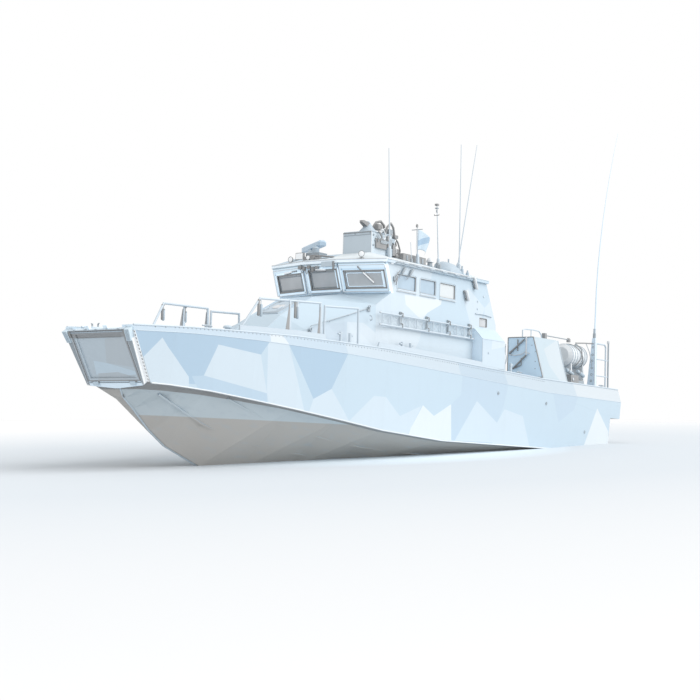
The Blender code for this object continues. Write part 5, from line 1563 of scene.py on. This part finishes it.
def make_stern_gear():
    for name, side in SIDES:
        form = Form("stern_gear_" + name, "dark")
        edge, post, pin = side * 1.70, side * 1.78, side * 1.38
        for x, length in ((-6.97, -0.44), (-7.65, -0.40)):
            slope = (length, 0, -0.12)
            bottle = ((0, 0.045), (0.02, 0.055), (0.42, 0.055), (0.44, 0.045))
            form.turned((x, edge, 2.00), slope, bottle, "grey")
            form.turned((x - 0.02, edge, 2.00), slope, ((0.08, 0.062), (0.11, 0.062)), "black")
        form.block((-7.57, edge - 0.10, deck_z(-7.3) + 0.01), (-7.10, edge + 0.10, 1.86), "black")
        rim = ((0, 0.05), (0.02, 0.05), (0.02, 0.038), (0.012, 0.036))
        form.turned((-7.22, edge + side * 0.095, 1.74), (0, side, 0), rim, "steel")
        form.dome((-7.22, edge + side * 0.10, 1.74), (0, side, 0), 0.036, 0.02, "glass_lamp")
        foot = deck_z(-7.8)
        form.block((-8.00, edge - 0.05, foot - 0.005), (-7.62, edge + 0.05, foot + 0.13), "dark")
        form.tube([(-7.60, edge, 1.74), (-8.00, edge, 1.73)], 0.018, "black")
        for points, radius, look in STERN_LINES:
            form.tube(to_side(points, side), radius, look)
        foot = deck_z(-9.5)
        form.tube([(-9.50, post, foot), (-9.50, post, 2.96)], 0.026)
        form.turned((-9.50, post, 2.94), UP, ((0, 0.045), (0.07, 0.045), (0.09, 0.02)), "glass_lamp")
        form.block((-9.56, post - 0.06, foot - 0.004), (-9.44, post + 0.06, foot + 0.014))
        for z in (1.93, 2.42):
            form.tube([(-9.28, side * 1.80, z), (-9.50, post, z)], 0.014, "rail")
        form.tube([(-6.41, side * 1.30, 2.94), (-7.0, side * 1.36, 2.93), (-7.72, pin, 2.92)], 0.016)
        form.turned((-7.70, pin, 2.85), UP, ((0, 0.06), (0.08, 0.06), (0.12, 0.03)), "black")
        form.done(bevel=0.003)
    post = Form("stern_post_trim", "black")
    for z in (1.76, 1.95, 2.14, 2.35, 2.53, 2.75):
        inner = 1.62 + (1.77 - 1.62) * (z - 1.6) / (3.02 - 1.6)
        middle = (inner + 1.87) / 2
        rim = ((0, 0.034), (0.008, 0.034), (0.008, 0.022), (0.0, 0.022))
        post.turned((-8.445, middle, z), AHEAD, rim, sides=14)
    post.tube([(-8.435, 1.875, 1.62), (-8.435, 1.875, 3.0)], 0.012, "white")
    post.tube([(-8.485, 1.82, 3.02), (-8.485, 1.82, 3.16)], 0.045, "dark", 12)
    post.tube([(-8.485, 1.82, 3.15), (-8.488, 1.82, 3.30)], 0.034, "grey", 12)
    post.done()


def make_transom():
    form = Form("transom_fittings", "dark")
    ring = ((0, 0.09), (0.03, 0.09), (0.05, 0.075), (0.03, 0.06))
    rail = ((-9.90, 0.80), (-9.97, 0.82), (-9.97, 1.50), (-9.90, 1.54))
    for side in (1, -1):
        for y in (0.45, 1.05):
            form.turned((-9.895, side * y, 1.05), ASTERN, ring, "steel", 20)
        inner, outer = side * 1.45, side * 1.75
        form.tube([(x, inner, z) for x, z in rail], 0.018, "rail")
        for z in (0.95, 1.15, 1.35):
            form.tube([(-9.97, inner, z), (-9.97, outer, z)], 0.014, "rail")
        form.tube([(x, outer, z) for x, z in rail], 0.018, "rail")
        form.block((-9.26, side * 1.25 - 0.10, -0.15), (-9.245, side * 1.25 + 0.10, 0.05), "steel")
    form.tube([(-9.905, y, 1.52) for y in (-1.9, 1.9)], 0.030, "rubber")
    form.block((-9.915, -0.20, 1.20), (-9.895, 0.20, 1.36), "pale")
    for y in (-0.16, 0.16):
        form.turned((-9.91, y, 1.28), ASTERN, ((0, 0.035), (0.02, 0.03)), "glass_lamp")
    form.done(bevel=0.003)


def bottom_z(s, y):
    """Height of the bottom at a station and a distance off the centreline, to either side."""
    (keel_y, keel_z), (inner_y, inner_z) = corner(s, "keel"), corner(s, "inner")
    return keel_z + (inner_z - keel_z) * (abs(y) - keel_y) / (inner_y - keel_y)


def make_jets():
    for name, side in SIDES:
        y = side * JET_Y
        form = Form("jet_details_" + name, "steel")
        for centre in circle(-9.305, y, JET_Z, 0.285, 14):
            form.turned(centre, ASTERN, ((0, 0.018), (0.015, 0.018), (0.022, 0.010)), sides=6)
        form.turned((-9.31, y, JET_Z), ASTERN, ((0.0, 0.262), (0.02, 0.255)), "dark", 28)
        form.tube([(-9.25, y + 0.42, 0.18), (-9.45, y + 0.42, 0.16), (-9.50, y + 0.42, 0.05)], 0.016, "black")
        cylinder = ((0, 0.05), (0.03, 0.04), (0.26, 0.04), (0.27, 0.018), (0.36, 0.018))
        form.turned((-9.25, y - 0.42, 0.10), (-1, 0, -0.1), cylinder)
        form.done(bevel=0.002)
        lip = Form("nozzle_lip_" + name, "dark")
        rim = ((0, 0.150), (0.008, 0.150), (0.008, 0.118), (-0.02, 0.112))
        lip.turned((-9.68 - 0.222, y, JET_Z), ASTERN, rim, sides=20)
        lip.turned((-9.68, y, JET_Z + 0.206), UP, ((0, 0.030), (0.012, 0.02)), "steel", 12)
        lip.done("nozzle_" + name)
        ribs = Form("bucket_ribs_" + name, "steel")
        for across in (-0.16, 0.0, 0.16):
            turns = [math.radians(degrees) for degrees in spread(54, 111, 7)]
            ribs.tube([(-9.75 - 0.312 * math.cos(a), y + across, JET_Z + 0.312 * math.sin(a)) for a in turns],
                      0.009, sides=6)
        ribs.done("bucket_" + name)
        grille = Form("intake_grille_" + name, "dark")
        for across in spread(-0.24, 0.24, 9):
            stops = ((-6.35, 0.01), (-6.6, -0.012), (-7.4, -0.012), (-8.15, -0.012), (-8.4, 0.01))
            path = [(s, y + across, bottom_z(s, y + across) + rise) for s, rise in stops]
            grille.tube(path, 0.010, "steel", 6)
        outline = ((-6.3, -0.28), (-6.3, 0.28), (-8.45, 0.28), (-8.45, -0.28))
        rim = [(s, y + across, bottom_z(s, y + across) - 0.004) for s, across in outline]
        grille.tube(rounded(rim, 0.12, 5), 0.016, "dark", loop=True)
        grille.done()


def make_aft_wall():
    form = Form("aft_wall_fittings", "dark")
    x = -2.95
    for side in (1, -1):
        grip = ((-0.01, 1.95), (-0.05, 1.97), (-0.05, 2.70), (-0.01, 2.72))
        form.tube([(x + out, side * 0.62, z) for out, z in grip], 0.014, "rail")
        lamp = ((0, 0.07), (0.03, 0.07), (0.06, 0.05))
        form.turned((x - 0.001, side * 0.95, 2.50), ASTERN, lamp, "glass_lamp")
        for z in spread(2.05, 2.25, 5):
            slat = [(x - 0.006, side * y, z) for y in (0.85, 1.25)]
            form.bar(*slat, 0.014, 0.03, "dark", (-0.6, 0, 1))
    for z in spread(2.0, 2.8, 4):
        form.handle((x, 1.35, z), (x, 1.60, z), (-0.09, 0, 0), 0.012, "rail")
    for foot, z in ((-2.93, 2.98), (-2.72, 3.36), (-2.52, 3.76)):
        form.handle((foot, 1.35, z), (foot, 1.60, z), (-0.09, 0, -0.03), 0.012, "rail")
    form.block((-2.80, -0.40, 3.30), (-2.72, 0.40, 3.34), "pale")
    for y in (-0.78, 0.78):
        make_lamp(form, (-2.64, y, 3.86), (-1, 0, -0.3), 0.07, 0.09)
        form.tube([(-2.56, y, 3.88), (-2.47, y, 3.90)], 0.016, "black")
    bottle = ((0, 0.075), (0.02, 0.085), (0.42, 0.085), (0.48, 0.05), (0.52, 0.03))
    form.turned((-2.96, -1.30, 2.10), UP, bottle, "white")
    for z in (2.2, 2.45):
        form.block((-3.05, -1.40, z), (-2.94, -1.20, z + 0.03), "dark")
    form.done(bevel=0.003)


def make_aft_well():
    form = Form("aft_well_fittings", "deck")
    form.block((-5.04, -1.78, 1.040), (-3.03, 1.78, 1.051))
    for y in spread(-1.7, 1.7, 18):
        form.block((-5.02, y - 0.012, 1.050), (-3.05, y + 0.012, 1.057), "rail")
    for side in (1, -1):
        wall = side * 1.80
        between(form, (-4.95, -3.35), wall, wall - side * 0.36, (1.42, 1.47), "grey")
        for x in (-4.8, -4.15, -3.5):
            form.tube([(x, wall - side * 0.02, 1.06), (x, wall - side * 0.30, 1.42)], 0.018, "rail")
        form.tube([(x, wall, deck_z(x) + 0.006) for x in (-5.0, -3.0)], 0.020, "pale")
    aft = -5.045
    for z, depth in ((1.22, 0.22), (1.40, 0.12)):
        form.block((aft, -0.55, z - 0.02), (aft + depth, 0.55, z + 0.012))
        for y in (-0.5, 0.5):
            form.tube([(aft, y, z - 0.12), (aft + depth - 0.02, y, z - 0.015)], 0.014, "rail")
    form.done(bevel=0.003)


def make_seat(form, x, y, foot):
    """A crew seat: pedestal, cushion, back and head rest."""
    half = 0.23
    form.turned((x, y, foot), UP, ((0, 0.16), (0.03, 0.15), (0.05, 0.05), (0.34, 0.05)), "dark", 14)
    for aft, fore, side, low, high in ((-0.22, 0.24, half, 0.34, 0.46), (-0.30, -0.19, half, 0.44, 1.02),
                                       (-0.29, -0.20, half / 2, 1.04, 1.20)):
        form.block((x + aft, y - side, foot + low), (x + fore, y + side, foot + high), "seat")


def make_cabin():
    """Helm, consoles and seats, seen through the windows and open doors."""
    form = Form("cabin_fittings", "grey")
    floor = 2.30
    form.block((-2.2, -1.50, floor - 0.05), (2.05, 1.50, floor), "deck")
    console = ((1.62, floor), (2.00, floor), (2.05, 3.10), (1.80, 3.22), (1.50, 3.02))
    form.skin([[(x, y, z) for x, z in console] for y in (-1.35, 1.35)], "dark")
    for y in (-0.95, -0.35, 0.25, 0.85):
        screen = [(1.52, y, 3.06), (1.52, y + 0.40, 3.06), (1.78, y + 0.40, 3.235), (1.78, y, 3.235)]
        form.slab(screen, 0.02, "glass_front")
    x, y, z, radius = 1.42, 0.05, 3.05, 0.17
    form.tube(circle(x, y, z, radius, 16), 0.014, "black", loop=True)
    form.tube([(x, y, z), (1.58, y, 3.0)], 0.02, "black")
    for a in (0.4, 2.5, 4.6):
        form.tube([(x, y, z), (x, y + radius * math.cos(a), z + radius * math.sin(a))], 0.009, "black")
    for x, y in ((0.85, -0.85), (0.85, 0.05), (0.85, 0.85), (-0.55, -0.95), (-0.55, 0.95)):
        make_seat(form, x, y, floor)
    form.done(bevel=0.012)
    hold = Form("hold_fittings", "grey")
    hold.block((-2.8, -1.40, 0.325), (WELL_AFT - 0.15, 1.40, 0.34), "deck")
    for side in (1, -1):
        wall = side * 1.46
        for x in spread(-2.1, 2.3, 6):
            wide = (x - 0.22, x + 0.22)
            between(hold, wide, wall, wall - side * 0.42, (0.78, 0.86), "seat")
            between(hold, wide, wall + side * 0.04, wall - side * 0.04, (0.88, 1.45), "seat")
            hold.tube([(x, wall - side * 0.1, 0.34), (x, wall - side * 0.2, 0.78)], 0.03, "dark")
    hold.done(bevel=0.015)


def make_camera():
    yaw, pitch, roll = CAMERA_YAW, CAMERA_PITCH, CAMERA_ROLL
    level = Vector((-math.cos(yaw), -math.sin(yaw), 0))
    up = Vector((0, 0, 1))
    right = level.cross(up)
    ahead = level * math.cos(pitch) + up * math.sin(pitch)
    over = up * math.cos(pitch) - level * math.sin(pitch)
    rolled_right = right * math.cos(roll) + over * math.sin(roll)
    rolled_up = over * math.cos(roll) - right * math.sin(roll)
    data = bpy.data.cameras.new("camera")
    data.sensor_width = SENSOR_MM
    data.lens = FOCAL_PIXELS / PHOTO_SIZE * SENSOR_MM
    data.clip_end = 500.0
    camera = bpy.data.objects.new("camera", data)
    columns = (rolled_right, rolled_up, -ahead, Vector(CAMERA_AT))
    camera.matrix_world = Matrix([[c[i] for c in columns] for i in range(3)] + [[0, 0, 0, 1]])
    bpy.context.scene.collection.objects.link(camera)
    bpy.context.scene.camera = camera


def water_z(x, y):
    return WATER_FALL[0] * (x - WATER_ORIGIN_X) + WATER_FALL[1] * y


def make_floor():
    work = bmesh.new()
    sides = 96
    ring = [(WATER_RADIUS * math.cos(a), WATER_RADIUS * math.sin(a))
            for a in (2 * math.pi * k / sides for k in range(sides))]
    work.faces.new([work.verts.new((x, y, water_z(x, y))) for x, y in ring])
    mesh = bpy.data.meshes.new("floor")
    work.to_mesh(mesh)
    work.free()
    floor = bpy.data.objects.new("floor", mesh)
    bpy.context.scene.collection.objects.link(floor)
    web = Web("floor_pale", 0.9)
    x, y, _ = web.axes()
    # Painted light: near the boat the floor is paler and bluer, which takes out the shade the hull casts on
    # it; further out it fades to the far paint.
    span = web.vector("LENGTH", web.combine(web.times(x, 0.55), y, 0.0), (0, 0, 0), 1)
    near = web.mix(web.ramp(span, 2.2, 4.2), FLOOR_PAINTED_LIGHT, FLOOR_MIDDLE)
    web.set("Base Color", web.mix(web.ramp(span, 9.0, 22.0), near, FLOOR_FAR))
    mesh.materials.append(web.mat)


def make_light():
    world = bpy.data.worlds.new("studio")
    world.use_nodes = True
    back = world.node_tree.nodes["Background"]
    back.inputs["Color"].default_value = (1.0, 1.0, 1.0, 1.0)
    back.inputs["Strength"].default_value = 1.0
    bpy.context.scene.world = world
    sun = bpy.data.lights.new("sun", "SUN")
    sun.energy = SUN_POWER
    sun.angle = math.radians(60)
    lamp = bpy.data.objects.new("sun", sun)
    lamp.rotation_euler = Vector(SUN_FROM).to_track_quat("Z", "Y").to_euler()
    bpy.context.scene.collection.objects.link(lamp)
    view = bpy.context.scene.view_settings
    view.view_transform = "Standard"
    view.look = "None"


make_camera()
make_floor()
make_light()
dress_nodes()
make_hull_trim()
make_stem()
make_bow_frame()
make_bow_trim()
make_ramp_trim()
make_front_panes()
make_window_seals()
make_wipers()
make_front_lamps()
make_roof_edge()
make_tub_gear()
make_roof_fittings()
make_mast_fittings()
make_flag()
make_trunk_fittings()
make_hatch_trim()
make_side_fittings()
make_ladder_trim()
make_locker_trim()
make_doors()
make_well()
make_decks()
make_hanging_lamps()
make_aft_box_trim()
make_engine_lid_trim()
make_raft_trim()
make_rail_trim()
make_stern_gear()
make_transom()
make_jets()
make_aft_wall()
make_aft_well()
make_cabin()
